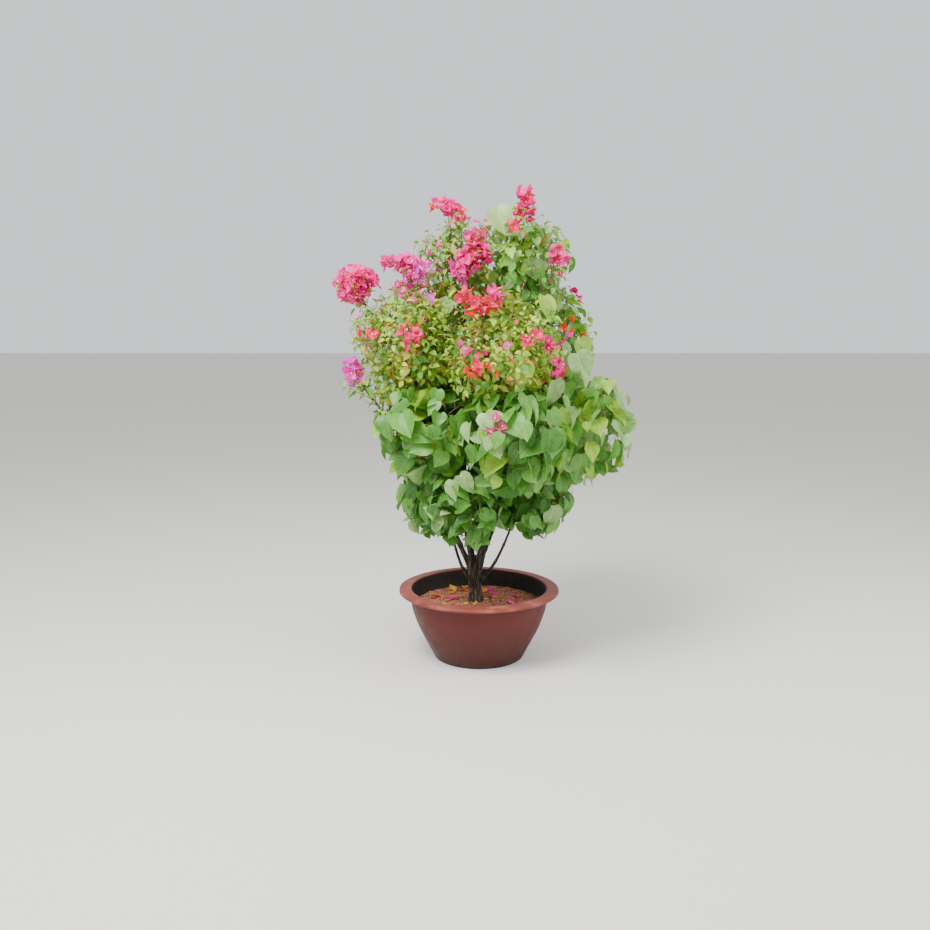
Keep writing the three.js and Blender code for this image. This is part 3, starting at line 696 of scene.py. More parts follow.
def stemOf(mass):
    limb, centre = mass["limb"], mass["centre"]
    heading = slopeOn(limb["curve"], 1)
    root = pointOn(limb["curve"], 1) + heading * gap
    reach = np.linalg.norm(root - centre)
    if mass["kind"] == "head":
        return [root, root + heading * reach * 0.5, centre]
    for i in range(massStem["tries"]):
        onward = unit(mixed(unit(centre - root), upward, massStem["lift"]))
        if i > 0:
            onward = unit(onward + across(onward, i * goldenTurn) * (0.2 + 0.06 * i))
        far = centre + onward * roomAlong(mass, centre, onward) * massStem["reach"]
        curve = [root, root + heading * reach * 0.6, far]
        points = pointsOn(curve, np.linspace(0, 1, 14))
        away = distances(points, root) > massStem["rootRoom"]
        if isClear(mass, points[away], massStem["margin"]).all():
            break
    return curve


def ruleTwigs(mass, stem):
    twigs = []
    for i in range(mass["tier"]["twigs"]):
        draw = randomFrom(mass["seed"] * 100 + i)
        share = twigRule["first"] + twigRule["stretch"] * i / (mass["tier"]["twigs"] - 1)
        base, tangent = pointOn(stem, share), slopeOn(stem, share)
        direction = unit(across(tangent, i * goldenTurn + mass["seed"]) + tangent * (0.35 + 0.35 * draw()))
        room = twigRule["room"] + twigRule["roomStep"] * draw()
        length = roomAlong(mass, base, direction) * room
        curve = [base, base + direction * length * 0.5 + upward * length * 0.04, base + direction * length]
        if length >= twigRule["shortest"] and isClear(mass, pointsOn(curve, np.linspace(0.1, 1, 9))).all():
            twigs.append(curve)
    return twigs


lumps = dict(size=0.55, foliage=(0.9, 0.42), head=(0.84, 0.6))   # how uneven a mass's outside is


def alongLine(points, line):     # how far points lie from a line drawn across and up, and where along it
    best, place = np.full(len(points), 9.0), np.zeros(len(points))
    for number, (start, end) in enumerate(zip(line, line[1:])):
        a = np.array((start[0], 0, start[1]))
        way = np.array((end[0], 0, end[1])) - a
        share = np.clip((points - a) @ way / (way @ way), 0, 1)
        apart = np.linalg.norm(points - a - share[:, None] * way, axis=1)
        place = np.where(apart < best, (number + share) / (len(line) - 1), place)
        best = np.minimum(best, apart)
    return best, place


def lumpy(mass, points):         # leaves out points beyond the mass's own uneven outside
    base, swing = lumps["head" if mass["kind"] == "head" else "foliage"]
    sizes = np.linalg.norm(points, axis=1)
    spots = unit(points) / lumps["size"]
    uneven = np.array([noise.noise(Vector(spot) + Vector((mass["seed"] * 5, 0, 0))) for spot in spots])
    return points[sizes < base + swing * uneven]


def spreadTargets(mass, spacing, random):    # twig ends, evenly spread through the mass's space
    tries = random.uniform(-1, 1, (6000, 3))
    tries = lumpy(mass, tries[(tries ** 2).sum(1) < 1])
    if mass["kind"] == "head":
        tries = tries[alongLine(tries, mass["head"]["line"])[0] < mass["head"]["thick"]]
    points = mass["centre"] + mass["half"] * tries * 0.97
    chosen = np.zeros((0, 3))
    for point in points[inSpace(mass, points)]:
        if not len(chosen) or ((chosen - point) ** 2).sum(1).min() > spacing ** 2:
            chosen = np.vstack([chosen, point])
    return chosen


def growWood(mass, places):      # each fine twig starts where the wood is near and already heads its way
    random = np.random.default_rng(mass["seed"])
    stem = stemOf(mass)
    twigs = [] if mass["kind"] == "head" else ruleTwigs(mass, stem)
    shares = np.linspace(0.06, 1, 16)
    wood = np.concatenate([pointsOn(curve, shares) for curve in [stem, *twigs]])
    ways = np.concatenate([slopesOn(curve, shares) for curve in [stem, *twigs]])
    carriers, parents, grown = np.full(len(wood), -1), [], []
    targets = spreadTargets(mass, lookOf(mass)["spacing"], random)
    order = np.argsort(distances(targets[:, None], wood).min(1))
    for target in [*targets[order], *places]:
        reach = target - wood
        apart = np.linalg.norm(reach, axis=1)
        forward = (reach * ways).sum(1) / np.maximum(apart, 1e-6)
        rising = reach[:, 2] / np.maximum(apart, 1e-6)
        pull = 1.5 - fineTwig["forward"] * forward - fineTwig["rising"] * rising
        start = np.argmin(apart * pull + np.where(apart < fineTwig["shortest"], 500, 0))
        span = apart[start]
        bend = (wood[start] + ways[start] * span * fineTwig["ahead"] + reach[start] * fineTwig["toward"]
                + upward * span * fineTwig["lift"])
        curve = [wood[start], bend, target]
        shares = np.linspace(0, 1, max(4, round(span / fineTwig["step"])))
        points = pointsOn(curve, shares)
        if not inSpace(mass, points[1:]).all() or not isClear(mass, points[2:]).all():
            continue
        parents.append(carriers[start])
        carriers = np.concatenate([carriers, np.full(len(points) - 2, len(grown))])
        grown.append(curve)
        wood = np.concatenate([wood, points[2:]])
        ways = np.concatenate([ways, slopesOn(curve, shares)[2:]])
    mass.update(stem=stem, twigs=twigs, fine=grown, parents=parents)


# Small blossom in the foliage: where it shows in front, a twig grows out to that line of sight.
smallBlooms = [                  # across and up on the plane through the trunk, sprays of bracts, colour
    (-170, 1500, 4, "rose"), (150, 1370, 3, "lilac"), (-200, 1340, 4, "lilac"), (-290, 1350, 3, "pink"),
    (190, 1190, 9, "red"), (240, 1160, 6, "crimson"), (290, 1090, 6, "rose"), (304, 1060, 6, "red"),
    (330, 1240, 3, "orange"), (330, 1180, 2, "pink"), (-410, 1200, 8, "red"), (-380, 1190, 5, "red"),
    (-250, 1205, 8, "red"), (-225, 1195, 3, "rose"), (-520, 1220, 5, "lilac"), (-500, 1235, 3, "pink"),
    (-60, 1180, 7, "rose"), (-25, 1155, 8, "crimson"), (70, 1160, 1, "lilac"), (-20, 1080, 5, "orange"),
    (0, 1095, 3, "red"), (40, 1065, 1, "orange"), (50, 885, 5, "rose"), (300, 1450, 4, "red"),
    (270, 1530, 3, "orange"), (120, 1580, 5, "red"), (70, 1570, 3, "crimson"), (-20, 1560, 5, "rose"),
    (10, 1500, 5, "crimson"), (-5, 1638, 6, "red"), (-40, 1608, 4, "rose"),
]
otherBlooms = dict(count=26, sprays=(3, 6), lowest=950, front=0,
                   tints=["rose", "red", "crimson", "pink", "orange", "lilac"])
bloomMasses = ofKind("middle", "upper", "crown")
sightDepths = np.linspace(-480, 300, 157)
sightCost = dict(deeper=0.14, taken=500)     # of a twig end, for each millimetre deeper and if it is taken
outerShare = 0.8                 # where the outside of a mass begins


def onSight(x, z, depths):       # points on a line of sight, at these depths behind the plane
    return view["eye"] + (np.array((x, 0, z)) - view["eye"]) * ((depths - view["eye"][1]) / -view["eye"][1])


def firstMet(x, z):              # the mass that a line of sight meets first, and where
    points = onSight(x, z, sightDepths[:, None])
    for slack in (0.9, 0.98):
        inside = np.array([inSpace(mass, points, slack) for mass in bloomMasses])
        if inside.any():
            first = inside.any(0).argmax()
            return [(bloomMasses[inside[:, first].argmax()], points[first])]
    return []


sightPlaces = [place for x, z, *_ in smallBlooms for place in firstMet(x, z)]
for mass in masses:
    growWood(mass, [point for owner, point in sightPlaces if owner is mass])
print("twigs:", sum(len(mass["twigs"]) + len(mass["fine"]) for mass in masses))


def twigEnds(mass):
    return np.array([curve[-1] for curve in mass["fine"]]).reshape(-1, 3)


endMasses = [mass for mass in bloomMasses for _ in mass["fine"]]
ends = np.concatenate([twigEnds(mass) for mass in bloomMasses])
taken = np.zeros(len(ends), bool)    # twig ends that carry blossom or one large leaf


def nearSight(x, z):             # the free twig end nearest to that line of sight, rather in front
    sight = unit(np.array((x, 0, z)) - view["eye"])
    ways = ends - view["eye"]
    aside = np.linalg.norm(ways - (ways @ sight)[:, None] * sight, axis=1)
    pick = np.argmin(aside + ends[:, 1] * sightCost["deeper"] + taken * sightCost["taken"])
    taken[pick] = True
    return pick


def outerEnds(random, lowest, front):    # free twig ends near the outside of their mass, in a dealt order
    return [i for i in random.permutation(len(ends)) if not taken[i] and ends[i][2] > lowest
            and ends[i][1] > front
            and np.linalg.norm((ends[i] - endMasses[i]["centre"]) / endMasses[i]["half"]) > outerShare]


def chooseClusters():
    chosen = [(nearSight(x, z), sprays, tint) for x, z, sprays, tint in smallBlooms]
    random = np.random.default_rng(seeds["others"])
    for i in outerEnds(random, otherBlooms["lowest"], otherBlooms["front"])[:otherBlooms["count"]]:
        sprays, tint = random.integers(*otherBlooms["sprays"]), random.integers(len(otherBlooms["tints"]))
        chosen.append((i, int(sprays), otherBlooms["tints"][tint]))
        taken[i] = True
    return [dict(mass=endMasses[i], at=ends[i], sprays=sprays, tint=tint) for i, sprays, tint in chosen]


clusters = chooseClusters()

# Leaves. bends holds the least and most that a blade is folded, curled and rippled. A leaf keeps clear of a
# cluster by clusterRoom, and more where it has more sprays. Ways are given sideways, forward and up.
leafForm = dict(bends=((0.15, 0.6), (0.02, 0.36), (0, 0.14)), youngShare=0.14, smallest=0.6, tilt=0.4,
                tries=6, overlap=16, crowding=0.24, endSpread=0.35, forward=0.4, stalkWay=(0.8, 0.5, 0.25),
                stalkRadius=(0.45, 0.006), clusterRoom=(14, 9))
widest = 0.45                    # where a blade is widest, as a share of its length


def leafNodes(mass, look, random):   # where leaves can stand, and which colour each twig is dealt
    rows = []
    weights = np.array(list(look["tints"].values()), float)
    for number, curve in enumerate(mass["twigs"] + mass["fine"] + [mass["stem"]] * (mass["kind"] != "head")):
        span = np.linalg.norm(curve[-1] - curve[0])
        count = max(1, int(min(span * 0.8, look["leafy"]) / look["step"]))
        ages = np.arange(count)
        shares = 1 - (ages + random.uniform(0, 0.3, count)) * look["step"] / span
        shares = shares * 0.55 if mass["kind"] == "head" else np.append(1, shares[1:])
        tint = random.choice(len(weights), p=weights / weights.sum())
        rows.append((pointsOn(curve, shares), slopesOn(curve, shares), ages * goldenTurn + number * 1.7, ages,
                     np.full(count, tint), np.full(count, number - len(mass["twigs"]))))
    return [np.concatenate(part) for part in zip(*rows)]


def growLeaves(mass, growth):
    look, shape = lookOf(mass), blades[lookOf(mass)["blade"]]
    random = np.random.default_rng(seeds["leaves"] + mass["seed"])
    bases, tangents, turns, ages, tints, numbers = leafNodes(mass, look, random)
    low, most = look["length"]
    wanted = mixed(low, most, random.random(len(bases)) ** 1.5)
    wanted *= look["young"] + (1 - look["young"]) * np.minimum(1, ages / 3)
    wanted *= np.interp(bases[:, 2], *zip(*look["grade"]))
    sag = look["sag"] * (0.5 + random.random(len(bases)))
    spread = np.where(ages == 0, leafForm["endSpread"], look["spread"])
    facing = unit(bases - mass["centre"]) + upward + random.normal(0, leafForm["tilt"], (len(bases), 3))
    left = np.arange(len(bases))
    room, perSpray = leafForm["clusterRoom"]
    for cluster in clusters:
        if cluster["mass"] is mass:
            left = left[distances(bases[left], cluster["at"]) > room + perSpray * cluster["sprays"] ** 0.5]
    kept = []
    sideway, onway, upway = leafForm["stalkWay"]
    for i in range(leafForm["tries"]):   # a leaf that finds no room is turned round its twig
        side = across(tangents[left], turns[left] + i * goldenTurn)
        along = unit(side * spread[left, None] + tangents[left] * leafForm["forward"]
                     - upward * sag[left, None])
        lean = unit(side * sideway + tangents[left] * onway + upward * upway)
        petiole = look["petiole"] * np.minimum(1, wanted[left] / low)
        roots = bases[left] + lean * petiole[:, None]
        sizes = np.minimum(wanted[left], roomAlong(mass, roots, along, leafForm["overlap"]) * 0.97)
        sideways = unit(np.cross(along, facing[left]))
        over = np.cross(sideways, along)
        middle = roots + along * sizes[:, None] * widest
        half = sideways * (sizes * look["width"] / 2)[:, None]
        spots = np.stack([middle, roots + along * sizes[:, None], middle + half, middle - half], 1)
        good = sizes > wanted[left] * leafForm["smallest"]
        good &= inSpace(mass, spots, 1, leafForm["overlap"]).all(1) & isClear(mass, spots, 1).all(1)
        kept.append([part[good] for part in (left, roots, along, over, sizes)])
        left = left[~good]
    chosen, roots, along, over, sizes = (np.concatenate(part) for part in zip(*kept))
    if look["blade"] == "heart":     # a broad leaf that would cut through a larger one is left out
        middles = roots + along * sizes[:, None] * widest
        apart = distances(middles[:, None], middles)
        free = ~((sizes > sizes[:, None]) & (apart < sizes * leafForm["crowding"])).any(1)
        chosen, roots, along, over, sizes = (part[free] for part in (chosen, roots, along, over, sizes))
    mass["leafy"] = set(numbers[chosen])
    widths = sizes * look["width"] * random.uniform(0.9, 1.12, len(chosen))
    points = placeBlades(shape, roots, along, over, sizes, widths, random, leafForm["bends"])
    young = (ages[chosen] < 2) & (random.random(len(chosen)) < leafForm["youngShare"])
    young &= mass["kind"] != "lower"
    for k, tint in enumerate(look["tints"]):
        addBlades(growth["leaves"], tint, shape, points[(tints[chosen] == k) & ~young])
    addBlades(growth["leaves"], "bronze" if look["blade"] == "ovate" else "fresh", shape, points[young])
    least, perSize = leafForm["stalkRadius"]
    thick = least + perSize * sizes
    middle = (bases[chosen] + roots) / 2 + upward * (look["petiole"] * 0.12)
    stalks = np.stack([bases[chosen], middle, roots + along], 1)
    addTubes(growth["stalks"], stalks, thick * 1.1, thick * 0.8, 3, 3)
    return len(chosen)


def addFineTwigs(mass, wood):     # the twigs that carry something, thicker where they carry more
    load = np.array([float(i in mass["leafy"]) for i in range(len(mass["fine"]))])
    for cluster in clusters:
        if cluster["mass"] is mass:
            load[np.argmin(distances(twigEnds(mass), cluster["at"]))] += 1
    for i in reversed(range(len(load))):
        if mass["parents"][i] >= 0:
            load[mass["parents"][i]] += load[i]
    base = np.minimum(fineTwig["radius"] * load[load > 0] ** fineTwig["loading"], fineTwig["thickest"])
    curves = [curve for curve, carried in zip(mass["fine"], load > 0) if carried]
    addTubes(wood, curves, base, np.minimum(base * 0.8, 0.7 + 0.1 * base), 4, 5)


def newGrowth():
    return dict(leaves={}, stalks=Gathered(), wood=Gathered())


def growthPieces(name, growth, nodes=()):
    tintPieces("leaves_" + name, growth["leaves"], leafMaterials, nodes)
    newPiece("stalks_" + name, growth["stalks"].mesh("stalks"), stalkSkin, nodes)
    if growth["wood"].count:
        newPiece("twigs_" + name, growth["wood"].mesh("twigs"), twigSkin, nodes)


def makeFoliage():
    total = 0
    slots = dict(lower="leaves_deep", middle="leaves_mid", upper="leaves_fresh", crown="leaves_fresh")
    for kind, slot in slots.items():
        growth = newGrowth()
        for mass in ofKind(kind):
            total += growLeaves(mass, growth)
            addEven(growth["wood"], [mass["stem"]], (mass["limb"]["radii"][1], massStem["tipRadius"]), 8, 12)
            addEven(growth["wood"], mass["twigs"], twigRule["radii"], 6, 6)
            addFineTwigs(mass, growth["wood"])
        growthPieces(kind, growth, [mass["name"] for mass in ofKind(kind)])
    return total


# Side shoots with a few leaves, and thorns, on the bare stretch of each cane.
shootForm = dict(every=20, between=(0.3, 0.99), length=(30, 110), forward=0.8, rising=0.3, sag=3,
                 radii=(1.5, 0.8))
thornForm = dict(turn=1.2, out=(6, 9), rise=4, radii=(5.0, 0.2))


def makeCaneLeaves():
    growth = newGrowth()
    total = 0
    for number, limb in enumerate(limb for limb in limbs if limb["kind"] == "cane"):
        random = np.random.default_rng(seeds["shoots"] + number)
        count = round(limb["span"] / shootForm["every"])
        shares = np.linspace(*shootForm["between"], count)
        turns = np.arange(count) * goldenTurn
        bases, tangents = pointsOn(limb["curve"], shares), slopesOn(limb["curve"], shares)
        ways = unit(across(tangents, turns) + tangents * shootForm["forward"] + upward * shootForm["rising"])
        lengths = random.uniform(*shootForm["length"], count)
        shoots = [[base, base + way * length * 0.5 - upward * shootForm["sag"], base + way * length]
                  for base, way, length in zip(bases, ways, lengths)]
        cane = dict(kind="cane", seed=seeds["canes"] + number, centre=pointOn(limb["curve"], 0.5),
                    half=np.full(3, 1e5), normals=np.zeros((1, 3)), limits=np.ones(1), runs=runs,
                    twigs=shoots, fine=[], stem=[bases[0], bases[count // 2], bases[-1]])
        total += growLeaves(cane, growth)
        half, full = thornForm["out"]
        thorns = [[base, base + side * half, base + side * full + upward * thornForm["rise"]]
                  for base, side in zip(bases, across(tangents, turns + thornForm["turn"]))]
        addEven(growth["wood"], shoots, shootForm["radii"], 5, 4)
        addEven(growth["wood"], thorns, thornForm["radii"], 4, 4)
    growthPieces("cane", growth)
    return total


# Large single leaves that stand out of the fine foliage, in front where they show and a few elsewhere.
largeLeaves = [                  # across and up as for the small blossom, length, colour
    (66, 1622, 98, "pale"), (233, 1548, 75, "pale"), (-13, 1408, 88, "pale"),
    (247, 1303, 92, "fresh"), (156, 1069, 92, "fresh"), (379, 1153, 84, "fresh"), (372, 1091, 108, "pale"),
    (264, 1000, 108, "pale"), (190, 1440, 78, "pale"),
]
largeForm = dict(width=0.94, bends=((0.1, 0.35), (0.05, 0.25), (0, 0.1)), stalk=64, stalkRadii=(1.2, 0.9))
otherLarge = dict(count=14, length=(60, 96), tints=["pale", "mid", "fresh"], lowest=1050, front=-40, reach=12)


def makeLargeLeaves():
    random = np.random.default_rng(seeds["large"])
    chosen = []                  # twig end, size, colour, the blade's middle, how far it turns to the front
    for x, z, size, tint in largeLeaves:
        pick = nearSight(x, z)
        chosen.append((pick, size, tint, onSight(x, z, ends[pick][1]), -0.8))
    others = outerEnds(random, otherLarge["lowest"], otherLarge["front"])[:otherLarge["count"]]
    for number, i in enumerate(others):
        tint = otherLarge["tints"][number % len(otherLarge["tints"])]
        middle = ends[i] + unit(ends[i] - endMasses[i]["centre"]) * otherLarge["reach"]
        chosen.append((i, random.uniform(*otherLarge["length"]), tint, middle, 0.0))
    growth = newGrowth()
    for i, size, tint, middle, front in chosen:
        outward = unit(ends[i] - endMasses[i]["centre"])
        side = across(upward[None], random.uniform(0, fullTurn, 1))[0]
        along = unit(outward * 0.25 + side * 0.35 - upward)    # it hangs from its stalk, tip down
        reach = middle - along * size * widest - ends[i]
        root = ends[i] + reach * min(1, largeForm["stalk"] / np.linalg.norm(reach))
        over = np.cross(unit(np.cross(along, outward + (0, front, 0.2))), along)
        sizes = np.array([size])
        points = placeBlades(blades["heart"], root[None], along[None], over[None], sizes,
                             sizes * largeForm["width"], random, largeForm["bends"])
        addBlades(growth["leaves"], tint, blades["heart"], points)
        stalk = [ends[i], (ends[i] + root) / 2 + upward * 5, root + along]
        addEven(growth["stalks"], [stalk], largeForm["stalkRadii"], 4, 5)
    growthPieces("large", growth)
    return len(chosen)


print("leaves:", makeFoliage() + makeCaneLeaves() + makeLargeLeaves())

# Blossom: sprays of three papery bracts, and in some of them a tube flower that opens in a star.
bloomForm = dict(bracts=3, length=(23, 34), width=0.82, tilt=(0.55, 1.05), flowerShare=0.55, flowerLength=15,
                 flowerRadius=4, bends=((0.1, 0.45), (-0.12, 0.2), (0, 0.2)), tubeRadii=(0.8, 1.3),
                 stalkRadii=(0.8, 0.6), twigRadii=(1.1, 0.6), mixing=0.45, sunk=10)
clusterForm = dict(sunk=16, radius=(8, 7))


def starShape():
    points = [(0, 0, 1.0)]
    for k in range(10):
        radius = 1.0 if k % 2 == 0 else 0.42
        points.append((radius * math.cos(k * math.pi / 5), radius * math.sin(k * math.pi / 5), 1.05))
    return shapeOf(points, [(0, 1 + (k - 1) % 10, 1 + k, 1 + (k + 1) % 10) for k in range(0, 10, 2)])


star = starShape()


def newBlossom():
    return dict(bracts={}, flowers=Gathered(), wood=Gathered(), stalks=Gathered())


def blossomPieces(name, blossom, nodes=()):    # all but the bracts
    newPiece("flowers_" + name, blossom["flowers"].mesh("flowers"), bractMaterials["cream"], nodes)
    for part in ("twigs", "stalks"):
        gathered = blossom["wood" if part == "twigs" else part]
        if gathered.count:
            newPiece(f"bloom_{part}_{name}", gathered.mesh(part), blossomSkin, nodes)


def addSprays(blossom, mass, nodes, axes, tints, random, starts):
    count = len(nodes)
    tilts = random.uniform(*bloomForm["tilt"], count)[:, None]
    turns = random.uniform(0, fullTurn, count)
    for _ in range(bloomForm["bracts"]):
        radial = across(axes, turns)
        along = unit(axes * np.cos(tilts) + radial * np.sin(tilts))
        over = unit(axes * np.sin(tilts) - radial * np.cos(tilts))
        sizes = mixed(*bloomForm["length"], random.random(count))
        tips = nodes + along * sizes[:, None]
        good = inSpace(mass, tips, 1.04) & isClear(mass, tips, 1)
        points = placeBlades(blades["bract"], nodes, along, over, sizes, sizes * bloomForm["width"], random,
                             bloomForm["bends"])
        for tint in dict.fromkeys(tints):
            addBlades(blossom["bracts"], tint, blades["bract"], points[good & (np.array(tints) == tint)])
        turns = turns + fullTurn / bloomForm["bracts"]
    shown = random.random(count) < bloomForm["flowerShare"]
    if shown.any():
        base, axis = nodes[shown], axes[shown]
        side = across(axis, np.zeros(len(axis)))
        mouth = base + axis * bloomForm["flowerLength"]
        x, y = (star["points"][:, k, None] * bloomForm["flowerRadius"] for k in (0, 1))
        blossom["flowers"].add(star, mouth[:, None] + side[:, None] * x + np.cross(axis, side)[:, None] * y)
        addEven(blossom["flowers"], np.stack([base, mouth], 1), bloomForm["tubeRadii"], 3, 2)
    addEven(blossom["stalks"], np.stack([starts, nodes], 1), bloomForm["stalkRadii"], 3, 2)


def makeBlossom():
    total = 0
    growth = newGrowth()
    for mass in ofKind("head"):
        head, tips = mass["head"], twigEnds(mass)
        random = np.random.default_rng(seeds["heads"] + mass["seed"])
        before = np.array([curve[1] for curve in mass["fine"]])
        outward = unit(tips - mass["centre"])
        axes = unit(unit(tips - before) * 0.6 + outward * 0.7 + upward * 0.2)
        colours = head["tints"].split()
        place = alongLine((tips - mass["centre"]) / mass["half"], head["line"])[1]
        order = place * len(colours) + random.normal(0, bloomForm["mixing"], len(tips))
        tints = [colours[int(k)] for k in np.clip(order, 0, len(colours) - 1)]
        blossom = newBlossom()
        addSprays(blossom, mass, tips - outward * bloomForm["sunk"], axes, tints, random, before)
        growLeaves(mass, growth)
        total += len(tips)
        addEven(blossom["wood"], [mass["stem"]], (mass["limb"]["radii"][1], massStem["tipRadius"]), 6, 8)
        addEven(blossom["wood"], mass["fine"], bloomForm["twigRadii"], 4, 4)
        name, slot, nodes = head["name"], "bracts_" + head["slot"], [mass["name"]]
        tintPieces("bracts_" + name, blossom["bracts"], bractMaterials, nodes)
        blossomPieces(name, blossom, nodes)
    growthPieces("head", growth)
    return total


def makeClusters():
    blossom = newBlossom()
    least, perSpray = clusterForm["radius"]
    for number, cluster in enumerate(clusters):
        random = np.random.default_rng(seeds["clusters"] + number)
        mass, sprays = cluster["mass"], cluster["sprays"]
        outward = unit(cluster["at"] - mass["centre"])
        centre = cluster["at"] - outward * clusterForm["sunk"]
        ways = unit(random.normal(size=(sprays, 3)) + outward * 0.8)
        nodes = centre + ways * (least + perSpray * sprays ** 0.5)
        axes = unit(ways + outward * 0.5 + upward * 0.3)
        starts = np.repeat(centre[None], sprays, 0)
        addSprays(blossom, mass, nodes, axes, [cluster["tint"]] * sprays, random, starts)
    for tint, gathered in blossom["bracts"].items():
        tintPieces("bracts_small", {tint: gathered}, bractMaterials)
    blossomPieces("small", blossom)
    return sum(cluster["sprays"] for cluster in clusters)


print("sprays of bracts:", makeBlossom() + makeClusters())

# The pot: one moulding of brown plastic, so a soft sheen on the wall and a chalky, sun-faded lip.
pot = dict(rimRadius=300, height=265, footRadius=168, wall=6, floor=9, footChamfer=3, lipWidth=47,
           lipDepth=15, wallTopRadius=259, bellyPower=1.1, drainRadius=8, drainCircle=105, drains=5,
           steps=144, wallSteps=18,
           wallDustAndShadeStops=[(0.0, "#3c251c"), (0.16, "#431a16"), (0.6, "#521e1b"), (1.0, "#5e2522")],
           lipStops=[(0.3, "#672d25"), (0.52, "#7c3b30"), (0.72, "#905448")],
           innerShadeStops=[(0.3, "#15120e"), (0.75, "#33291f")], innerShadeSize=14)
under = pot["height"] - pot["lipDepth"]


def potRadius(z):
    swell = math.sin(min(1, z / under) * math.pi / 2) ** pot["bellyPower"]
    return mixed(pot["footRadius"], pot["wallTopRadius"], swell)


def spinProfile(profile, steps):
    mesh = bmesh.new()
    verts = [mesh.verts.new((r * mm, 0, z * mm)) for r, z in profile]
    edges = [mesh.edges.new(pair) for pair in zip(verts, verts[1:])]
    bmesh.ops.spin(mesh, geom=verts + edges, cent=(0, 0, 0), axis=(0, 0, 1), angle=fullTurn, steps=steps,
                   use_merge=True, dvec=(0, 0, 0))
    bmesh.ops.remove_doubles(mesh, verts=mesh.verts, dist=1e-6)
    bmesh.ops.recalc_face_normals(mesh, faces=mesh.faces)
    return mesh


def potMaterial():
    material, add, shader, _ = startMaterial("moulded polypropylene, sun-faded", 0.5,
                                             **{"Specular IOR Level": 0.25})
    place = add("TexCoord")
    split = add("SeparateXYZ", {}, {0: (place, "Object")})
    patches = add("TexNoise", {"Scale": perMetre(60), "Detail": 4.0}, {"Vector": (place, "Object")})
    grains = add("TexNoise", {"Scale": perMetre(5), "Detail": 4.0}, {"Vector": (place, "Object")})
    # The wall darkens towards the foot: brown-grey dust at the very foot, and painted shade on the lower wall
    # above it.
    wall = add("MapRange", {"From Min": 0.0, "From Max": 0.25}, {"Value": (split, "Z")})
    uneven = add("Math", {"operation": "MULTIPLY_ADD", 1: 0.5, 2: -0.25}, {0: patches})
    level = add("Math", {"operation": "ADD"}, {0: wall, 1: uneven})
    wallColour = add("ValToRGB", {"stops": pot["wallDustAndShadeStops"]}, {"Fac": level})
    lipColour = add("ValToRGB", {"stops": pot["lipStops"]}, {"Fac": patches})
    onLip = add("MapRange", {"From Min": 0.249, "From Max": 0.251}, {"Value": (split, "Z")})
    outer = add("Mix", {"data_type": "RGBA"}, {0: onLip, 6: wallColour, 7: lipColour})
    dull = add("MapRange", {"From Min": 0.3, "From Max": 0.7, "To Min": 0.42, "To Max": 0.66},
               {"Value": patches})
    bump = add("Bump", {"Strength": 0.35, "Distance": 0.0005}, {"Height": grains})
    add(shader, {}, {"Base Color": (outer, 2), "Roughness": dull, "Normal": bump})
    return material


def soilMaterial(name, stops, size):
    material, add, shader, _ = startMaterial(name, 0.92)
    place = add("TexCoord")
    patches = add("TexNoise", {"Scale": perMetre(size), "Detail": 6.0, "Roughness": 0.65},
                  {"Vector": (place, "Object")})
    colour = add("ValToRGB", {"stops": stops}, {"Fac": patches})
    bump = add("Bump", {"Strength": 0.8, "Distance": 0.002}, {"Height": patches})
    add(shader, {}, {"Base Color": colour, "Normal": bump})
    return material


def makePot():
    rim, top, floor = pot["rimRadius"], pot["height"], pot["floor"]
    mouth = rim - pot["lipWidth"]
    outside = [(potRadius(z), z) for z in np.linspace(pot["footChamfer"], under, pot["wallSteps"] + 1)]
    inside = [(potRadius(z) - pot["wall"], z) for z in np.linspace(under, floor, pot["wallSteps"] + 1)]
    lip = [(rim - 3, under), (rim, under + 3), (rim, top - 7), (rim - 1.2, top - 4), (rim - 4, top - 2.6),
           (rim - 12, top - 1.8), (mouth + 14, top - 1.4), (mouth + 10, top - 0.4), (mouth + 6, top),
           (mouth + 2, top - 1), (mouth + 0.4, top - 3.5)]
    foot = [(0, 0), (pot["footRadius"] - pot["footChamfer"], 0)]
    mesh = spinProfile(foot + outside + lip + inside + [(0, floor)], pot["steps"])
    for vert in mesh.verts:      # a moulded lip is never quite true
        if vert.co.z > under * mm:
            turn = Vector((vert.co.x, vert.co.y, 0)).normalized()
            vert.co.z += noise.noise(turn * 1.6) * 0.0016 - 0.0008
    mesh.normal_update()
    for face in mesh.faces:      # painted shade: the ring inside, above the soil, gets a near-black material for the shade there
        middle = face.calc_center_median()
        inwards = middle.xy.dot(face.normal.xy) < -0.3 * middle.xy.length
        face.material_index = int(inwards and soil["top"] - 15 < middle.z / mm < under + 9)
    shell = meshFrom(mesh, "pot")
    cutter = bmesh.new()
    for i in range(pot["drains"]):
        at = Vector(polar(i * fullTurn / pot["drains"], 0)) * pot["drainCircle"] * mm
        radius = pot["drainRadius"] * mm
        bmesh.ops.create_cone(cutter, cap_ends=True, segments=32, radius1=radius, radius2=radius,
                              depth=4 * floor * mm, matrix=Matrix.Translation(at))
    drill = addObject("drill", meshFrom(cutter, "drills", smooth=False))
    piece = newPiece("pot_moulding", shell, potMaterial(), ["pot"])
    cut = piece.modifiers.new("drains", "BOOLEAN")
    cut.operation = "DIFFERENCE"
    cut.object = drill
    # the second material is painted shade: a near-black colour on the inner wall above the soil
    shell.materials.append(soilMaterial("painted shade on the inner wall", pot["innerShadeStops"], pot["innerShadeSize"]))
    finished = bpy.data.meshes.new_from_object(piece.evaluated_get(bpy.context.evaluated_depsgraph_get()))
    piece.modifiers.clear()
    piece.data = finished
    bpy.data.objects.remove(drill)


makePot()

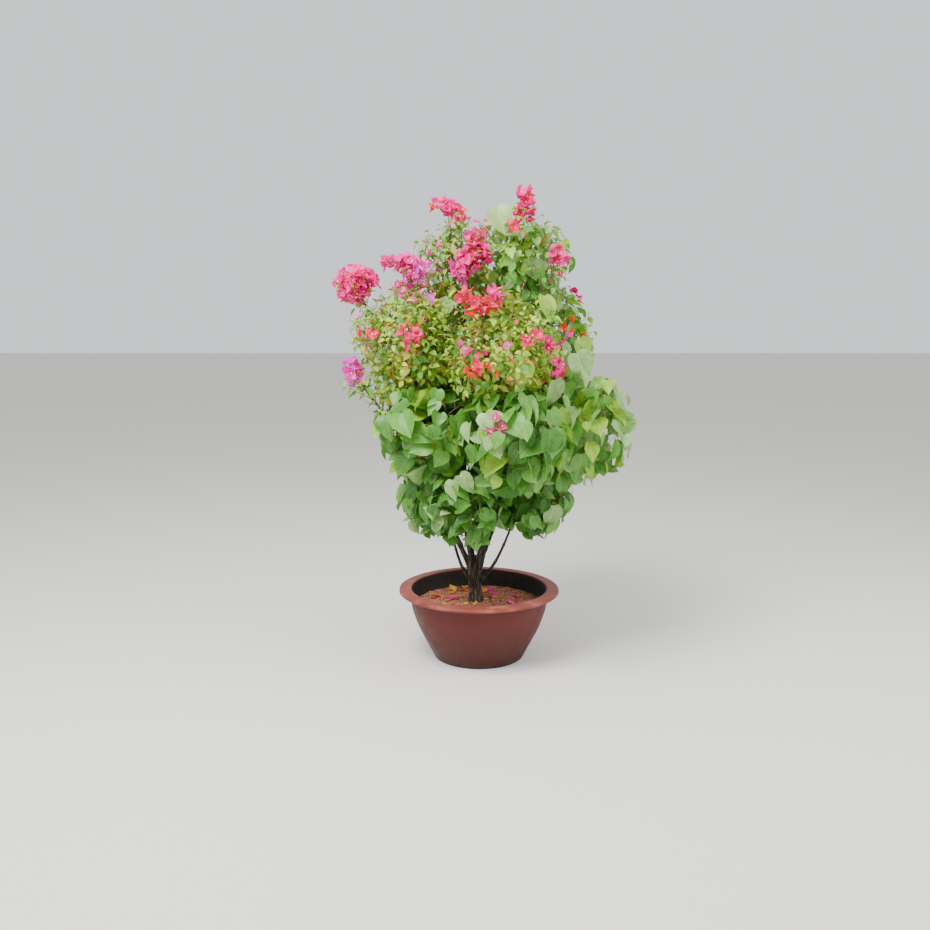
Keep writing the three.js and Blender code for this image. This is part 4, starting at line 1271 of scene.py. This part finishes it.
# Potting soil: damp red-brown loam with crumbs and fallen leaves and bracts.
soilLook = dict(rings=56, steps=150, slope=165, lumps=(26, 6.0), crumbs=(8, 2.4), heap=(5, 55), patch=9,
                stops=[(0.3, "#4e2a16"), (0.5, "#8a563c"), (0.72, "#b98060")])
crumbForm = dict(count=1900, size=(3, 13), squash=(0.6, 1.1), bumps=(0.8, 1.15), margin=8)
litter = dict(count=130, size=(18, 50), width=0.75, drift=60, margin=40, lying=4.5, tilt=0.12,
              bends=((-0.1, 0.5), (-0.3, 0.3), (0, 0.3)), leaves=dict(bronze=0.34, amber=0.3),
              bracts=dict(orange=0.1, pink=0.1, crimson=0.2))


def soilHeight(x, y):
    slope = min(1, max(0, (math.hypot(x, y) - soil["flatRadius"]) / soilLook["slope"]))
    height = soil["top"] - soil["edgeDrop"] * slope
    for (size, rise), layer in ((soilLook["lumps"], 3), (soilLook["crumbs"], 9)):
        height += noise.noise(Vector((x, y, layer)) / size) * rise
    heap, spread = soilLook["heap"]
    return height + heap * math.exp(-((x - trunk["footX"]) ** 2 + y ** 2) / spread ** 2)


def onSoil(x, y):
    return np.array([(a, b, soilHeight(a, b)) for a, b in zip(x, y)]).reshape(-1, 3)


def scattered(random, count, radius):    # places evenly spread over a disc
    reach = np.sqrt(random.random(count)) * radius
    turn = random.uniform(0, fullTurn, count)
    return reach * np.cos(turn), reach * np.sin(turn)


def makeSoil():
    edge = soil["top"] - soil["edgeDrop"]
    rim = potRadius(edge) - pot["wall"] - gap
    side = [(potRadius(z) - pot["wall"] - gap, z) for z in np.linspace(pot["floor"] + gap, edge, 14)]
    surface = [(r, edge) for r in np.linspace(rim, 0, soilLook["rings"] + 1)[1:]]
    mesh = spinProfile([(0, pot["floor"] + gap)] + side + surface, soilLook["steps"])
    for vert in mesh.verts:
        x, y, z = vert.co / mm
        if z > edge - 1 and math.hypot(x, y) < rim - 1:
            vert.co.z = soilHeight(x, y) * mm
    loam = soilMaterial("damp loam potting soil", soilLook["stops"], soilLook["patch"])
    newPiece("soil_bed", meshFrom(mesh, "soil"), loam, ["soil"])
    random = np.random.default_rng(seeds["soil"])
    crumb = bmesh.new()
    bmesh.ops.create_icosphere(crumb, subdivisions=1, radius=1)
    body = np.array([tuple(vert.co) for vert in crumb.verts])
    shape = shapeOf(body, [tuple(vert.index for vert in face.verts) for face in crumb.faces])
    crumb.free()
    count = crumbForm["count"]
    x, y = scattered(random, count, rim - crumbForm["margin"])
    sizes = mixed(*crumbForm["size"], random.random(count) ** 3)
    squash = random.uniform(*crumbForm["squash"], (count, 1, 3))
    bumps = random.uniform(*crumbForm["bumps"], (count, len(body), 1))
    crumbs = Gathered()
    crumbs.add(shape, onSoil(x, y)[:, None] + body * squash * bumps * sizes[:, None, None] / 2)
    newPiece("soil_crumbs", crumbs.mesh("crumbs", smooth=False), loam, ["soil"])
    for tint, share in litter["leaves"].items():
        scatterLitter(tint, leafMaterials, round(litter["count"] * share), rim, random)
    for tint, share in litter["bracts"].items():
        scatterLitter(tint, bractMaterials, round(litter["count"] * share), rim, random)


def scatterLitter(tint, materials, count, rim, random):    # it gathers in drifts
    x, y = scattered(random, count, rim - litter["margin"])
    drift = np.array([noise.noise(Vector((a, b, 7)) / litter["drift"]) for a, b in zip(x, y)])
    x, y = x[drift > -0.05], y[drift > -0.05]
    count = len(x)
    heading = random.uniform(0, fullTurn, count)
    along = unit(np.stack([np.cos(heading), np.sin(heading), random.uniform(-0.1, 0.25, count)], 1))
    over = unit(np.cross(np.cross(along, upward), along) + random.normal(0, litter["tilt"], (count, 3)))
    sizes = mixed(*litter["size"], random.random(count) ** 1.6)
    roots = onSoil(x, y) + upward * litter["lying"]
    points = placeBlades(blades["bract"], roots, along, over, sizes, sizes * litter["width"], random,
                         litter["bends"])
    table = {}
    addBlades(table, tint, blades["bract"], points)
    tintPieces("litter", table, materials)


makeSoil()
counts = [sum(len(polygon.vertices) - 2 for polygon in piece.data.polygons) for piece in pieces]
print("pot and soil made, triangles:", sum(counts), "most in one piece:", max(counts))

# Studio, in metres: a pale floor, soft light from the sky, a key lamp, a weaker one to fill the shadows, and
# the photograph's viewing angle.
floorLook = dict(colour="#d8d5ce", half=40)
sky = dict(colour="#eef1f4", strength=1.15)
lamps = dict(key=dict(at=(-1.4, -1.9, 3.8), size=1.8, power=330),
             fill=dict(at=(2.6, -1.2, 2.4), size=2.4, power=80))
lampAim = Vector((0, 0, 0.9))


def makeStudio():
    made = bmesh.new()
    bmesh.ops.create_grid(made, x_segments=1, y_segments=1, size=floorLook["half"])
    floor = addObject("floor", meshFrom(made, "floor", smooth=False))
    material, add, shader, _ = startMaterial("matt studio floor", 0.9)
    add(shader, {"Base Color": hexColour(floorLook["colour"])})
    floor.data.materials.append(material)
    world = bpy.data.worlds.new("studio")
    world.use_nodes = True
    addNode(world.node_tree, world.node_tree.nodes["Background"],
            {"Color": hexColour(sky["colour"]), "Strength": sky["strength"]})
    bpy.context.scene.world = world
    for name, look in lamps.items():
        lamp = bpy.data.lights.new(name, "AREA")
        lamp.energy = look["power"]
        lamp.size = look["size"]
        lampObject = addObject(name, lamp)
        lampObject.location = look["at"]
        lampObject.rotation_euler = (lampAim - Vector(look["at"])).to_track_quat("-Z", "Y").to_euler()
    camera = bpy.data.cameras.new("camera")
    camera.lens = view["lens"]
    camera.sensor_width = view["sensor"]
    cameraObject = addObject("camera", camera)
    cameraObject.location = Vector(view["eye"]) * mm
    cameraObject.rotation_euler = (math.radians(90 - view["dip"]), 0, 0)
    bpy.context.scene.camera = cameraObject


makeStudio()
